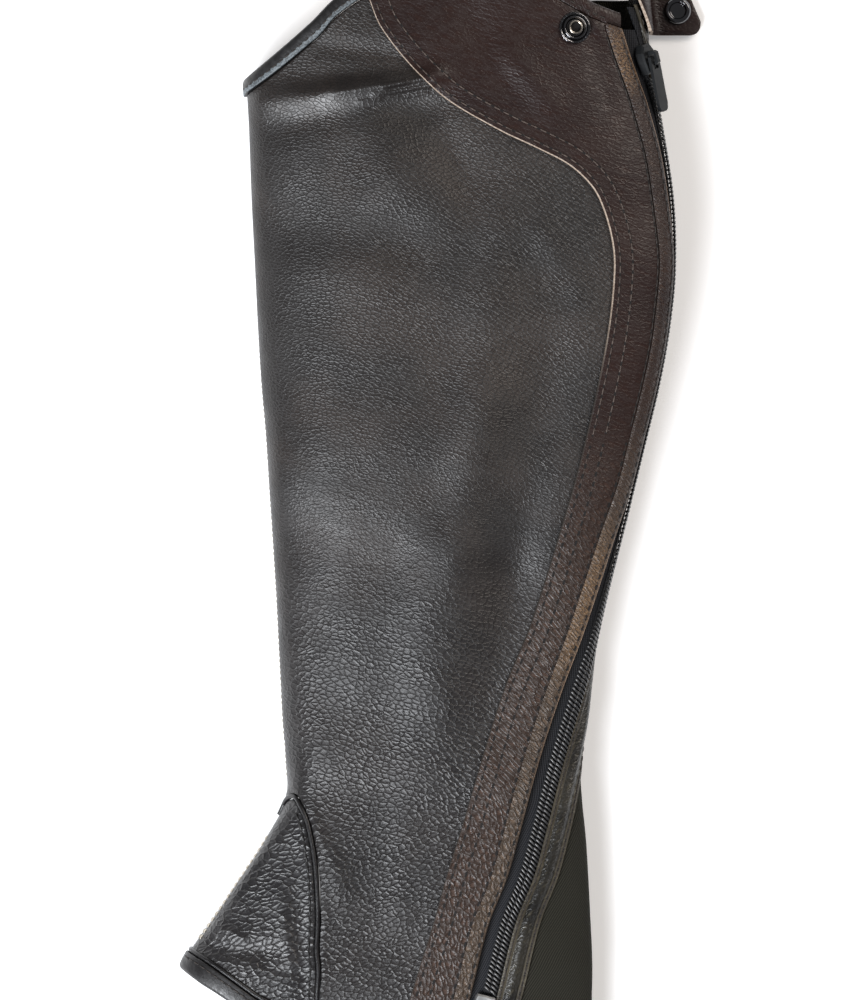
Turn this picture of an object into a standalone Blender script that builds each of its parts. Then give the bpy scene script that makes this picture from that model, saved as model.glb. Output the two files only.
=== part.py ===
"""Half chap of leather lying empty on its inner side, as closed solids.

X runs from the front seam towards the back zip, Y from the foot up to the calf and Z up from the
table. Sizes are in millimetres until a mesh is made. A place on the leather is given by its girth,
the distance round the leg from the front seam over the upper side, and by how far up the leg it is.
A negative girth goes round the underside instead. A level is a distance out from the leather's face.
"""

import math
from bisect import bisect_right
from collections import namedtuple
from functools import lru_cache

import bmesh
import bpy
import numpy as np
from mathutils import Matrix, Vector

MM = 0.001
CENTRE = Vector((8.23, -13.46, 0.0))  # middle of the finished part, moved to the origin

LEATHER = 1.6
GAP = 0.3

# The leg as it lies, seen from above: up the leg, front edge, back edge, height of the crown.
Station = namedtuple("Station", "up front back crown")
LEG = (
    Station(-250, -122.0, 69.0, 27.0),
    Station(-216, -112.0, 69.0, 28.0),
    Station(-200, -104.0, 69.0, 28.5),
    Station(-188, -96.0, 69.2, 29.0),
    Station(-180, -91.7, 69.0, 29.0),
    Station(-168, -83.2, 68.4, 29.5),
    Station(-152, -72.4, 67.6, 30.0),
    Station(-136, -62.0, 66.6, 30.0),
    Station(-120, -54.0, 65.0, 30.5),
    Station(-104, -54.0, 64.2, 31.0),
    Station(-88, -55.2, 65.4, 31.5),
    Station(-72, -56.0, 67.0, 32.5),
    Station(-56, -56.8, 69.4, 33.5),
    Station(-40, -57.6, 72.8, 34.5),
    Station(-8, -59.6, 80.8, 36.0),
    Station(26, -61.8, 89.2, 37.0),
    Station(46, -63.6, 94.0, 37.6),
    Station(68, -65.0, 98.0, 38.2),
    Station(92, -66.2, 100.4, 38.5),
    Station(120, -67.6, 99.6, 38.5),
    Station(152, -68.8, 94.8, 38.0),
    Station(176, -70.2, 90.6, 37.5),
    Station(200, -71.0, 87.8, 37.0),
    Station(230, -72.0, 84.0, 36.5),
)
FRONT_SIDE = 0.35   # height where the front edge stands widest, as a share of the crown
BACK_SIDE = 0.55    # the same at the back
FRONT_ROUND = 0.33  # how far the front edge rounds away underneath, as a share of the crown
BACK_ROUND = 0.42
DOME_POWER = 2.5    # 2 is an ellipse, more is flatter on top
OVER_POINTS = 141   # points of a section's upper side
ROLL_POINTS = 24    # points of each rounded edge below it
FADE = 16.0         # folds die out over this girth towards both edges

# Folds in the upper side, seen from above: two ends, half width and height, a trough below zero.
Fold = namedtuple("Fold", "x_from up_from x_to up_to half height")
FOLDS = (
    Fold(42, 60, 16, -46, 10.0, -1.5),
    Fold(16, -46, 22, -110, 8.0, -1.3),
    Fold(2, -20, -8, -160, 8.0, 1.3),
    Fold(-90, -178, -62, -181, 4.0, -1.6),
    Fold(-62, -138, -77, -160, 6.0, 1.2),
    Fold(-86, -169, -74, -176, 4.0, 0.8),
    Fold(-46, -114, -33, -152, 5.0, 1.0),
    Fold(-64, 157, 2, 165, 6.0, 1.1),
    Fold(-38, 181, -12, 178, 4.0, -0.8),
    Fold(4, 150, 20, 132, 10.0, -1.2),
    Fold(-20, 146, 4, 108, 12.0, 1.2),
    Fold(-40, 40, -30, -60, 12.0, 0.9),
)

# Edges seen from above: across, up the leg.
TOP_EDGE = (
    (-70.6, 168.0), (-55.2, 180.4), (-43.2, 190.8), (-34.0, 200.0), (-20.0, 208.5), (0.0, 215.5),
    (26.0, 218.0), (45.0, 212.5), (60.0, 203.5), (69.0, 198.4), (79.0, 194.6),
)
INNER_TOP_EDGE = (
    (-70.6, 168.0), (-60.0, 169.5), (-48.0, 173.5), (-22.0, 188.0), (12.0, 199.0), (48.0, 206.0),
    (71.0, 208.0),
)
HEM = (
    (-92.2, -180.4), (-84.4, -184.8), (-76.8, -190.0), (-69.6, -195.2), (-64.0, -199.0),
    (-50.0, -205.2), (-36.0, -209.4), (0.0, -216.0), (16.0, -217.4),
)
HEM_BACK = -217.6
SMOOTH_EDGE = (
    (-20.4, 200.0), (-15.6, 188.4), (-2.8, 172.0), (11.2, 159.2), (31.6, 147.2), (46.8, 140.0),
    (59.6, 133.2), (68.4, 124.8), (72.8, 116.4), (76.2, 104.4), (77.2, 93.2), (75.6, 73.6),
    (71.6, 50.0), (64.8, 20.0), (54.8, -16.0), (44.4, -49.2), (34.4, -73.2), (26.8, -96.0),
    (20.8, -116.0), (16.4, -131.2), (10.4, -150.4), (5.2, -169.2), (-2.8, -194.8), (-9.0, -216.6),
)
STRIPE_BACK_EDGE = (
    (70.0, 212.0), (74.6, 200.0), (79.6, 188.0), (83.3, 176.8), (86.2, 168.4), (89.6, 158.0),
    (95.0, 136.0), (98.4, 112.0), (99.3, 92.0), (96.9, 68.0), (92.8, 46.0), (88.0, 26.0),
    (83.4, 8.0), (76.1, -16.0), (69.2, -38.0), (62.7, -57.6), (56.2, -75.6), (49.9, -94.8),
    (43.7, -115.6), (39.8, -131.2), (34.6, -150.4), (27.2, -169.2), (20.8, -195.0), (15.0, -217.4),
)
INSTEP_SEAM = (
    (-57.2, -126.4), (-54.2, -121.4), (-50.0, -118.8), (-46.8, -123.2), (-44.4, -130.0),
    (-42.8, -138.4), (-41.4, -150.0), (-40.8, -165.0), (-41.0, -183.6), (-41.2, -200.0),
    (-41.4, -208.0),
)
SEAM_TIP = 2        # the instep seam's third point is its tip
LAP = 7.0           # the leather that runs on under the smooth panel
BINDING = 6.0
BINDING_LEVELS = (-2.4, 1.6)
HEM_WIDTH = 8.8
CORD_RADIUS = 0.95
CORD_LEVEL = 0.1
CORD_PROFILE = [(CORD_RADIUS * math.cos(turn), CORD_LEVEL + CORD_RADIUS * math.sin(turn))
                for turn in np.linspace(math.pi / 2, 2.5 * math.pi, 6, endpoint=False)]
FACING_THICK = 0.9
SMOOTH_FACE = GAP + LEATHER  # level of the smooth panel's face

# Across the zip, from the stripe's edge towards the back.
FACING = 6.4
TAPE_SHOWS = 4.4
CHAIN = 6.0
STRIP = 10.0
CHAIN_MIDDLE = TAPE_SHOWS + CHAIN / 2
STRIP_START = TAPE_SHOWS + CHAIN + GAP
STRIP_END = STRIP_START + STRIP
TAPE_END = STRIP_START + 3.6
TAPE_THICK = 0.9
CHAIN_HIGH = 2.0
CHAIN_TOP = 168.5
CHAIN_FOOT = -197.0
TAPE_FOOT = -215.8
ELASTIC_THICK = 1.5
ELASTIC_UNDER = 38.0  # how far the elastic runs on past the back edge, on the underside

# Rows and columns of the panels' meshes, columns as shares of a panel's width.
STRIPE_TOP = 188.0
TIP_UP = -117.4
ROWS_ABOVE = 24     # above the instep seam's tip
ROWS_BELOW = 9
FRONT_COLUMNS = (0.0, 0.028, 0.056, 0.086, 0.117)
SHAFT_COLUMNS = FRONT_COLUMNS + (0.155, 0.205, 0.27, 0.36, 0.47, 0.6, 0.74, 0.88, 1.0)
INNER_COLUMNS = FRONT_COLUMNS + (0.15, 0.19, 0.3, 0.6, 1.0)
SMOOTH_COLUMNS = (0.0, 0.24, 0.45, 0.64, 0.8, 0.92, 1.0)
TIP_COLUMN = len(FRONT_COLUMNS) - 1

# Zip slider and its pull, the box at the foot of the chain.
SLIDER_UP = 176.0
SLIDER_LONG = 12.0
SLIDER_WIDE = 8.0
SLIDER_HIGH = 4.2
SLIDER_ASIDE = -0.9  # from the chain's middle
PULL_LONG = 22.0
PULL_WIDE = 5.6
PULL_THICK = 1.4
PULL_AXIS = 1.6      # height of the pull's axis over the slider
PULL_REST = 5.5      # degrees that the pull dips towards the chain
PULL_ARM = 1.4       # half width of the pull's window
ARCH_WIDE = 1.8
BOX_LONG = 11.2
BOX_WIDE = 8.2
BOX_HIGH = 3.4
BOX_ASIDE = -1.1

# Snap: a stud on the smooth panel and a tab that lies open on the table.
SNAP_X, SNAP_UP = 61.2, 188.0
SNAP_SIDES = 18
TAB_FROM = 11.6      # from the stripe's edge to the tab's sewn end
TAB_LOW, TAB_HIGH = 187.2, 207.0
TAB_THICK = 1.6
TAB_REST = 2.3       # height of the tab's middle where it lies on its cap
TAB_BEND = 5.0
TAB_OUT = 15.0       # length on the table

# Elastic strap that goes under the foot.
STRAP_FROM, STRAP_WIDE = -45.0, 30.0
STRAP_THICK = 1.2
STRAP_LAP = 22.0     # length held inside the hem
STRAP_LOW = HEM_BACK - 14.0
STRAP_LOOP = 13.2    # how far the loop hangs out below that




def smooth(knots, values, at):
    """Cubic through the values, each knot's slope taken from its two neighbours."""
    last = len(knots) - 1
    low = min(max(bisect_right(knots, at) - 1, 0), last - 1)
    span = knots[low + 1] - knots[low]

    def slope(i):
        before, after = max(i - 1, 0), min(i + 1, last)
        return (values[after] - values[before]) / (knots[after] - knots[before])

    t = (at - knots[low]) / span
    rise = values[low + 1] - values[low]
    start, end = slope(low) * span, slope(low + 1) * span
    return values[low] + t * (start + t * (3 * rise - 2 * start - end + t * (start + end - 2 * rise)))


def spline(points, per_span=8):
    """Points of a smooth line through the given ones."""
    steps = [0.0]
    for a, b in zip(points, points[1:]):
        steps.append(steps[-1] + math.dist(a, b))
    columns = list(zip(*points))
    line = []
    for low in range(len(points) - 1):
        for k in range(per_span):
            at = steps[low] + (steps[low + 1] - steps[low]) * k / per_span
            line.append(tuple(smooth(steps, column, at) for column in columns))
    line.append(tuple(points[-1]))
    return line


def spaced(line, count):
    """The line cut into equal stretches."""
    steps = [0.0]
    for a, b in zip(line, line[1:]):
        steps.append(steps[-1] + math.dist(a, b))
    places = np.linspace(0.0, steps[-1], count + 1)
    return [tuple(float(np.interp(s, steps, column)) for column in zip(*line)) for s in places]


ZIP_LINE = [[], []]
for across, height in spline(STRIPE_BACK_EDGE):
    ZIP_LINE[0].append(-height)
    ZIP_LINE[1].append(across)


@lru_cache(maxsize=None)
def ring(up):
    """Girths, across and height of the leather's face at one height up the leg, all the way round."""
    ups = [station.up for station in LEG]
    front, back, crown = (smooth(ups, [station[k] for station in LEG], up) for k in (1, 2, 3))
    middle, half = (front + back) / 2, (back - front) / 2
    turn = np.linspace(math.pi, 0.0, OVER_POINTS)
    cosine, sine = np.cos(turn), np.sin(turn)
    power = 2 / DOME_POWER
    side = crown * (FRONT_SIDE + (BACK_SIDE - FRONT_SIDE) * (1 + cosine) / 2)
    over_x = middle + half * np.sign(cosine) * np.abs(cosine) ** power
    over_z = side + (crown - side) * np.abs(sine) ** power
    quarter = np.linspace(0.0, math.pi / 2, ROLL_POINTS + 1)[1:]
    back_x = back - crown * BACK_ROUND * (1 - np.cos(quarter))
    back_z = crown * BACK_SIDE * (1 - np.sin(quarter))
    front_x = front + crown * FRONT_ROUND * (1 - np.cos(quarter))
    front_z = crown * FRONT_SIDE * (1 - np.sin(quarter))
    under_x = np.concatenate((back_x, front_x[::-1], [front]))
    under_z = np.concatenate((back_z, front_z[::-1], [crown * FRONT_SIDE]))
    x = np.concatenate((over_x, under_x))
    z = np.concatenate((over_z, under_z))
    z[np.abs(z) < 1e-9] = 0.0
    girth = np.concatenate(([0.0], np.cumsum(np.hypot(np.diff(x), np.diff(z)))))
    return girth, x, z, girth[len(over_x) - 1]


def upper_girth(up):
    """Girth of the back edge: all that is seen from above."""
    return float(ring(round(up, 3))[3])


def whole_girth(up):
    return float(ring(round(up, 3))[0][-1])


def girth_at(across, up):
    """Girth of a place on the upper side that is seen from above at this distance across."""
    girth, x, _, _ = ring(round(up, 3))
    return float(np.interp(across, x[:OVER_POINTS], girth[:OVER_POINTS]))


def under_at(across, up):
    """Distance round the underside from the front seam to a place seen at this distance across."""
    girth, x, _, upper = ring(round(up, 3))
    return float(girth[-1] - np.interp(across, x[:OVER_POINTS - 1:-1], girth[:OVER_POINTS - 1:-1]))


def bare(girth, up):
    """The leather's face without folds."""
    girths, x, z, _ = ring(round(up, 3))
    girth = girth % girths[-1]
    return Vector((np.interp(girth, girths, x), up, np.interp(girth, girths, z)))


def tangents(girth, up):
    """Unit direction round the leg, direction per millimetre up the leg, and the normal."""
    step = 0.6
    around = (bare(girth + step, up) - bare(girth - step, up)).normalized()
    if girth >= 0:
        along = (bare(girth, up + step) - bare(girth, up - step)) / (2 * step)
    else:
        whole_over, whole_under = whole_girth(up + step), whole_girth(up - step)
        along = (bare(whole_over + girth, up + step) - bare(whole_under + girth, up - step)) / (2 * step)
    return around, along, around.cross(along).normalized()


def fold_height(x, up):
    """How far the folds lift or press the upper side."""
    total = 0.0
    for fold in FOLDS:
        run = Vector((fold.x_to - fold.x_from, fold.up_to - fold.up_from))
        to_point = Vector((x - fold.x_from, up - fold.up_from))
        length = run.length
        along = to_point.dot(run) / length
        aside = (to_point - run * (along / length)).length
        beyond = max(0.0, -along, along - length)
        total += fold.height * math.exp(-(aside / fold.half) ** 2 - (beyond / (1.6 * fold.half)) ** 2)
    return total


def place(girth, up, level=0.0):
    """A point at a level over the folded leather."""
    point = bare(girth, up)
    normal = tangents(girth, up)[2]
    upper = upper_girth(up)
    if 0.0 < girth < upper:
        fade = min(1.0, girth / FADE, (upper - girth) / FADE)
        level += fold_height(point.x, up) * fade * fade * (3 - 2 * fade)
    return point + normal * level


def aside(path, distance):
    """Unit steps in girth and up, square to a path on the leather, times a distance to its right."""
    steps = []
    for k, (girth, up) in enumerate(path):
        before, after = path[max(k - 1, 0)], path[min(k + 1, len(path) - 1)]
        around, along, normal = tangents(girth, up)
        heading = around * (after[0] - before[0]) + along * (after[1] - before[1])
        right = heading.cross(normal).normalized()
        square = along - around * along.dot(around)
        up_part = right.dot(square) / square.length_squared
        girth_part = right.dot(around) - up_part * along.dot(around)
        steps.append((girth_part * distance, up_part * distance))
    return steps


def beside(path, distance):
    """A line that keeps its distance from the straight runs of a path, round its corners too."""
    line = []
    for k, (point, step) in enumerate(zip(path, aside(path, distance))):
        reach = 1.0
        if 0 < k < len(path) - 1:
            before, after = Vector(path[k - 1]), Vector(path[k + 1])
            here = Vector(point)
            turn = (here - before).normalized().dot((after - here).normalized())
            reach = 1 / math.sqrt((1 + turn) / 2)
        line.append((point[0] + step[0] * reach, point[1] + step[1] * reach))
    return line


def cut_at(line, girth):
    """The line with its first end moved along its first run to a girth."""
    (near, up), (far, far_up) = line[:2]
    return [(girth, up + (far_up - up) * (girth - near) / (far - near))] + list(line[1:])


def downward(path):
    """Steps straight down the leg that stand one millimetre off a path that runs across it."""
    steps = []
    for k, (girth, up) in enumerate(path):
        before, after = path[max(k - 1, 0)], path[min(k + 1, len(path) - 1)]
        around, along, _ = tangents(girth, up)
        heading = around * (after[0] - before[0]) + along * (after[1] - before[1])
        steps.append((0.0, -heading.length / along.cross(heading).length))
    return steps


def below(path, distance):
    return [(p[0], p[1] + s[1] * distance) for p, s in zip(path, downward(path))]


def mirrored(path):
    """The same line on the underside."""
    return [(-girth, up) for girth, up in path]


def at_girth(line, girth):
    """Point of a line that runs across the leg, at one girth."""
    return girth, float(np.interp(girth, [p[0] for p in line], [p[1] for p in line]))


def coons(top, bottom, left, right, across, down):
    """Rows of places between four edge lines, blended from all of them."""
    rows = []
    for i, v in enumerate(down):
        row = []
        for j, u in enumerate(across):
            point = []
            for k in (0, 1):
                ends = (1 - v) * top[j][k] + v * bottom[j][k] + (1 - u) * left[i][k] + u * right[i][k]
                corners = ((1 - u) * (1 - v) * top[0][k] + u * (1 - v) * top[-1][k]
                           + (1 - u) * v * bottom[0][k] + u * v * bottom[-1][k])
                point.append(ends - corners)
            row.append(tuple(point))
        rows.append(row)
    return rows


def finish_mesh(name, points, faces, material, smooth_angle=40.0):
    """A closed mesh from points in millimetres, as an object with its own material."""
    mesh = bpy.data.meshes.new(name)
    mesh.from_pydata([(Vector(p) - CENTRE) * MM for p in points], [], faces)
    work = bmesh.new()
    work.from_mesh(mesh)
    bmesh.ops.recalc_face_normals(work, faces=work.faces)
    work.to_mesh(mesh)
    work.free()
    mesh.shade_smooth()
    mesh.set_sharp_from_angle(angle=math.radians(smooth_angle))
    mesh.materials.append(material)
    item = bpy.data.objects.new(name, mesh)
    bpy.context.collection.objects.link(item)
    return item


def wall(name, grid, outer, inner, material, on=place):
    """Closed wall over rows of places; a place of None leaves a notch in the grid."""
    points, faces, numbers = [], [], {}
    for i, row in enumerate(grid):
        for j, spot in enumerate(row):
            if spot is not None:
                numbers[i, j] = len(points)
                points.append(on(*spot, outer))
                points.append(on(*spot, inner))
    edges = {}
    for i in range(len(grid) - 1):
        for j in range(len(grid[0]) - 1):
            corners = [(i, j), (i, j + 1), (i + 1, j + 1), (i + 1, j)]
            if any(corner not in numbers for corner in corners):
                continue
            a, b, c, d = (numbers[corner] for corner in corners)
            faces += [(a, b, c), (a, c, d), (c + 1, b + 1, a + 1), (d + 1, c + 1, a + 1)]
            for start, end in ((a, b), (b, c), (c, d), (d, a)):
                if (end, start) in edges:
                    del edges[end, start]
                else:
                    edges[start, end] = True
    for start, end in edges:
        faces += [(end, start, start + 1), (end, start + 1, end + 1)]
    return finish_mesh(name, points, faces, material)


def strip(name, path, steps, profile, material):
    """Closed strip swept along a path on the leather; its profile has (aside, level) corners.

    Where it would reach below the table it is lifted until it lies on it.
    """
    points, faces = [], []
    count = len(profile)
    for (girth, up), (side_girth, side_up) in zip(path, steps):
        section = [place(girth + side_girth * a, up + side_up * a, level) for a, level in profile]
        lift = max(0.0, -min(point.z for point in section))
        points += [point + Vector((0.0, 0.0, lift)) for point in section]
    for k in range(len(path) - 1):
        for c in range(count):
            a, b = k * count + c, k * count + (c + 1) % count
            if profile[(c + 1) % count][0] >= profile[c][0]:
                faces += [(a, b, b + count), (a, b + count, a + count)]
            else:
                faces += [(a, b, a + count), (b, b + count, a + count)]
    faces.append(tuple(reversed(range(count))))
    faces.append(tuple(range(len(points) - count, len(points))))
    return finish_mesh(name, points, faces, material)


def cord(name, path, material):
    return strip(name, path, aside(path, 1.0), CORD_PROFILE, material)


def paint(name, colour, roughness, metallic=0.0):
    material = bpy.data.materials.new(name)
    material.use_nodes = True
    shader = material.node_tree.nodes["Principled BSDF"]
    shader.inputs["Base Color"].default_value = (*colour, 1.0)
    shader.inputs["Roughness"].default_value = roughness
    shader.inputs["Metallic"].default_value = metallic
    return material


def in_rows(line):
    """A line down the leg cut into the panels' rows, one of them level with the instep seam's tip."""
    above = [p for p in line if p[1] > TIP_UP]
    under = [p for p in line if p[1] < TIP_UP]
    crossing = (float(np.interp(-TIP_UP, [-p[1] for p in line], [p[0] for p in line])), TIP_UP)
    return spaced(above + [crossing], ROWS_ABOVE) + spaced([crossing] + under, ROWS_BELOW)[1:]


def layout():
    """All the shared lines on the leather, worked out once."""
    lines = {}
    top_line = [(girth_at(x, up), up) for x, up in spline(TOP_EDGE)]
    lines["top"] = top_line
    lines["top_in"] = below(top_line, BINDING + GAP)
    under_top = [(under_at(x, up), up) for x, up in spline(INNER_TOP_EDGE)]
    _, inner_back = INNER_TOP_EDGE[-1]
    across, outer_back = TOP_EDGE[-1]
    full = whole_girth(inner_back)
    corner = full - girth_at(across, outer_back) - STRIP_END
    under_top += [(full - upper_girth(inner_back), inner_back - 0.6), (corner, 204.0)]
    lines["under_top"] = under_top
    lines["under_top_in"] = [(g, up - (BINDING + GAP) * 1.06) for g, up in under_top]
    hem_line = [(girth_at(x, up), up) for x, up in spline(HEM)]
    hem_line += [(hem_line[-1][0] + on, HEM_BACK) for on in (40.0, 300.0)]
    lines["hem"] = hem_line

    edge = [(girth_at(x, up), up) for x, up in spline(SMOOTH_EDGE)]
    edge[0] = at_girth(lines["top_in"], edge[0][0])
    edge[-1] = at_girth(below(hem_line, -CORD_RADIUS - GAP), edge[-1][0])
    lines["edge"] = in_rows(edge)

    back = [(zip_girth(up), up) for up in np.linspace(STRIPE_TOP, STRIPE_BACK_EDGE[-1][1], 120)]
    back[0] = at_girth(lines["top_in"], back[0][0])
    back[-1] = at_girth(below(hem_line, -CORD_RADIUS - GAP), back[-1][0])
    lines["back"] = in_rows(back)

    seam = [(girth_at(x, up), up) for x, up in INSTEP_SEAM]
    seam[0] = (4 * GAP, seam[0][1])
    seam[-1] = at_girth(below(hem_line, -CORD_RADIUS - 2 * GAP), seam[-1][0])
    fine = spline(seam)
    tip = SEAM_TIP * (len(fine) // (len(seam) - 1))
    lines["seam"] = spaced(fine[:tip + 1], TIP_COLUMN) + spaced(fine[tip:], ROWS_BELOW)[1:]
    return lines


def zip_girth(up):
    """Girth of the stripe's edge beside the zip, which the zip's pieces are measured from."""
    return girth_at(float(np.interp(-up, ZIP_LINE[0], ZIP_LINE[1])), up)


def heights(path, top, bottom):
    """The heights of the path's rows between two others, with those two at the ends."""
    return [top] + [p[1] for p in path if bottom + 2.0 < p[1] < top - 2.0] + [bottom]


def zip_rows(ups, offsets):
    return [[(zip_girth(up) + offset, up) for offset in offsets] for up in ups]


def shaft_grid(lines, columns, right, top_line, hem_line, flip):
    """Rows from the front seam or the instep seam to the panel's far edge, in two blocks."""
    sign = -1 if flip else 1
    seam = lines["seam"]
    off = CORD_RADIUS + GAP
    start = GAP / 2
    outside = cut_at(beside(seam, -off), start)
    width = right[0][0] - start
    top = [at_girth(top_line, start + u * width) for u in columns]
    top[-1] = right[0]
    tip = outside[TIP_COLUMN]
    far = right[ROWS_ABOVE]
    middle = outside[:TIP_COLUMN + 1]
    for u in columns[TIP_COLUMN + 1:]:
        share = (u - columns[TIP_COLUMN]) / (1 - columns[TIP_COLUMN])
        middle.append((tip[0] + (far[0] - tip[0]) * share, tip[1] + (far[1] - tip[1]) * share))
    left = [(start, top[0][1] + (middle[0][1] - top[0][1]) * k / ROWS_ABOVE) for k in range(ROWS_ABOVE + 1)]
    down = [k / ROWS_ABOVE for k in range(ROWS_ABOVE + 1)]
    rows = coons(top, middle, left, right[:ROWS_ABOVE + 1], columns, down)
    lower_left = outside[TIP_COLUMN:]
    lower_right = right[ROWS_ABOVE:]
    spare = columns[TIP_COLUMN:]
    shares = [(u - spare[0]) / (1 - spare[0]) for u in spare]
    low_start = lower_left[-1][0]
    bottom = [at_girth(hem_line, low_start + s * (lower_right[-1][0] - low_start)) for s in shares]
    lower_left[-1] = bottom[0]
    down = [k / ROWS_BELOW for k in range(ROWS_BELOW + 1)]
    lower = coons(middle[TIP_COLUMN:], bottom, lower_left, lower_right, shares, down)
    rows += [[None] * TIP_COLUMN + row for row in lower[1:]]
    return [[spot and (sign * spot[0], spot[1]) for spot in row] for row in rows]


def instep_grid(lines, hem_line, flip):
    sign = -1 if flip else 1
    off = CORD_RADIUS + GAP
    start = GAP / 2
    inside = cut_at(beside(lines["seam"], off), start)
    top = inside[:TIP_COLUMN + 1]
    right = inside[TIP_COLUMN:]
    right[-1] = at_girth(hem_line, right[-1][0])
    foot = at_girth(hem_line, start)
    shares = [k / TIP_COLUMN for k in range(TIP_COLUMN + 1)]
    down = [k / ROWS_BELOW for k in range(ROWS_BELOW + 1)]
    left = [(start, top[0][1] + (foot[1] - top[0][1]) * v) for v in down]
    bottom = [at_girth(hem_line, start + (right[-1][0] - start) * u) for u in shares]
    rows = coons(top, bottom, left, right, shares, down)
    return [[(sign * girth, up) for girth, up in row] for row in rows]


def seat(girth, up, level, heading):
    """Placement of a hard piece: its Y along a heading on the leather, its Z straight out."""
    around, along, normal = tangents(girth, up)
    y_axis = (around * heading[0] + along * heading[1]).normalized()
    y_axis = (y_axis - normal * y_axis.dot(normal)).normalized()
    x_axis = y_axis.cross(normal)
    matrix = Matrix((x_axis, y_axis, normal)).transposed().to_4x4()
    matrix.translation = (place(girth, up, level) - CENTRE) * MM
    return matrix


def loose(name, points, faces, material, matrix, smooth_angle=40.0):
    """A hard piece modelled about its own origin and then placed."""
    item = finish_mesh(name, [Vector(p) + CENTRE for p in points], faces, material, smooth_angle)
    item.matrix_world = matrix
    return item


def lathe(profile, sides):
    """Closed turned solid; the profile runs from the axis at the bottom to the axis at the top."""
    points, faces = [], []
    rings = profile[1:-1]
    points.append((0.0, 0.0, profile[0][1]))
    for radius, height in rings:
        for k in range(sides):
            turn = 2 * math.pi * k / sides
            points.append((radius * math.cos(turn), radius * math.sin(turn), height))
    points.append((0.0, 0.0, profile[-1][1]))
    last = len(points) - 1
    for k in range(sides):
        after = (k + 1) % sides
        faces.append((0, 1 + after, 1 + k))
        for r in range(len(rings) - 1):
            a, b = 1 + r * sides + k, 1 + r * sides + after
            faces.append((a, b, b + sides, a + sides))
        base = 1 + (len(rings) - 1) * sides
        faces.append((base + k, base + after, last))
    return points, faces


def block(outline, bottom, top, chamfer):
    """Closed block from a convex outline, with its upper edge cut back by a chamfer."""
    count = len(outline)
    points = [(x, y, bottom) for x, y in outline]
    points += [(x, y, top - chamfer) for x, y in outline]
    longest = max(abs(v) for p in outline for v in p)
    inset = 1 - chamfer / longest
    points += [(x * inset, y * inset, top) for x, y in outline]
    faces = [tuple(reversed(range(count))), tuple(range(2 * count, 3 * count))]
    for layer in (0, count):
        for k in range(count):
            after = (k + 1) % count
            faces.append((layer + k, layer + after, layer + count + after, layer + count + k))
    return points, faces


def elastic_far(up):
    """Distance round the underside, from the front seam to where the inner panel meets the elastic."""
    return whole_girth(up) - upper_girth(up) - ELASTIC_UNDER - GAP


def make_leather(lines, looks):
    off = CORD_RADIUS + GAP
    hem_in = below(lines["hem"], -off)
    edge, back = lines["edge"], lines["back"]
    lap = beside(edge, -LAP)
    lap[0] = at_girth(lines["top_in"], edge[0][0] + LAP)
    lap[-1] = at_girth(hem_in, edge[-1][0] + LAP)
    outer = shaft_grid(lines, SHAFT_COLUMNS, edge, lines["top_in"], hem_in, False)
    for row, spot in zip(outer, lap):
        row.append(spot)
    wall("shaft_outer", outer, 0.0, -LEATHER, looks["grained"])

    facing = [(girth - FACING, up) for girth, up in back]
    facing[0] = at_girth(lines["top_in"], facing[0][0])
    facing[-1] = at_girth(hem_in, facing[-1][0])
    top = [at_girth(lines["top_in"], lap[0][0] + (facing[0][0] - lap[0][0]) * u) for u in SMOOTH_COLUMNS]
    foot = [at_girth(hem_in, lap[-1][0] + (facing[-1][0] - lap[-1][0]) * u) for u in SMOOTH_COLUMNS]
    down = [k / (len(lap) - 1) for k in range(len(lap))]
    rows = coons(top, foot, lap, facing, SMOOTH_COLUMNS, down)
    smooth_rows = [[edge[k]] + row + [back[k]] for k, row in enumerate(rows)]
    wall("spanish_top", smooth_rows, SMOOTH_FACE, GAP, looks["smooth"])
    low = SMOOTH_FACE + GAP
    wall("zip_facing", [row[-2:] for row in smooth_rows], low + FACING_THICK, low, looks["facing"])

    under_top = lines["under_top_in"]
    far = [(elastic_far(up), up) for girth, up in back]
    for _ in range(3):
        up = at_girth(under_top, far[0][0])[1]
        far[0] = (elastic_far(up), up)
    far[-1] = at_girth(hem_in, far[-1][0])
    inner = shaft_grid(lines, INNER_COLUMNS, far, under_top, hem_in, True)
    wall("shaft_inner", inner, 0.0, -LEATHER, looks["grained"])
    wall("instep_outer", instep_grid(lines, hem_in, False), 0.0, -LEATHER, looks["grained"])
    wall("instep_inner", instep_grid(lines, hem_in, True), 0.0, -LEATHER, looks["grained"])
    return outer, smooth_rows, inner


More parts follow.
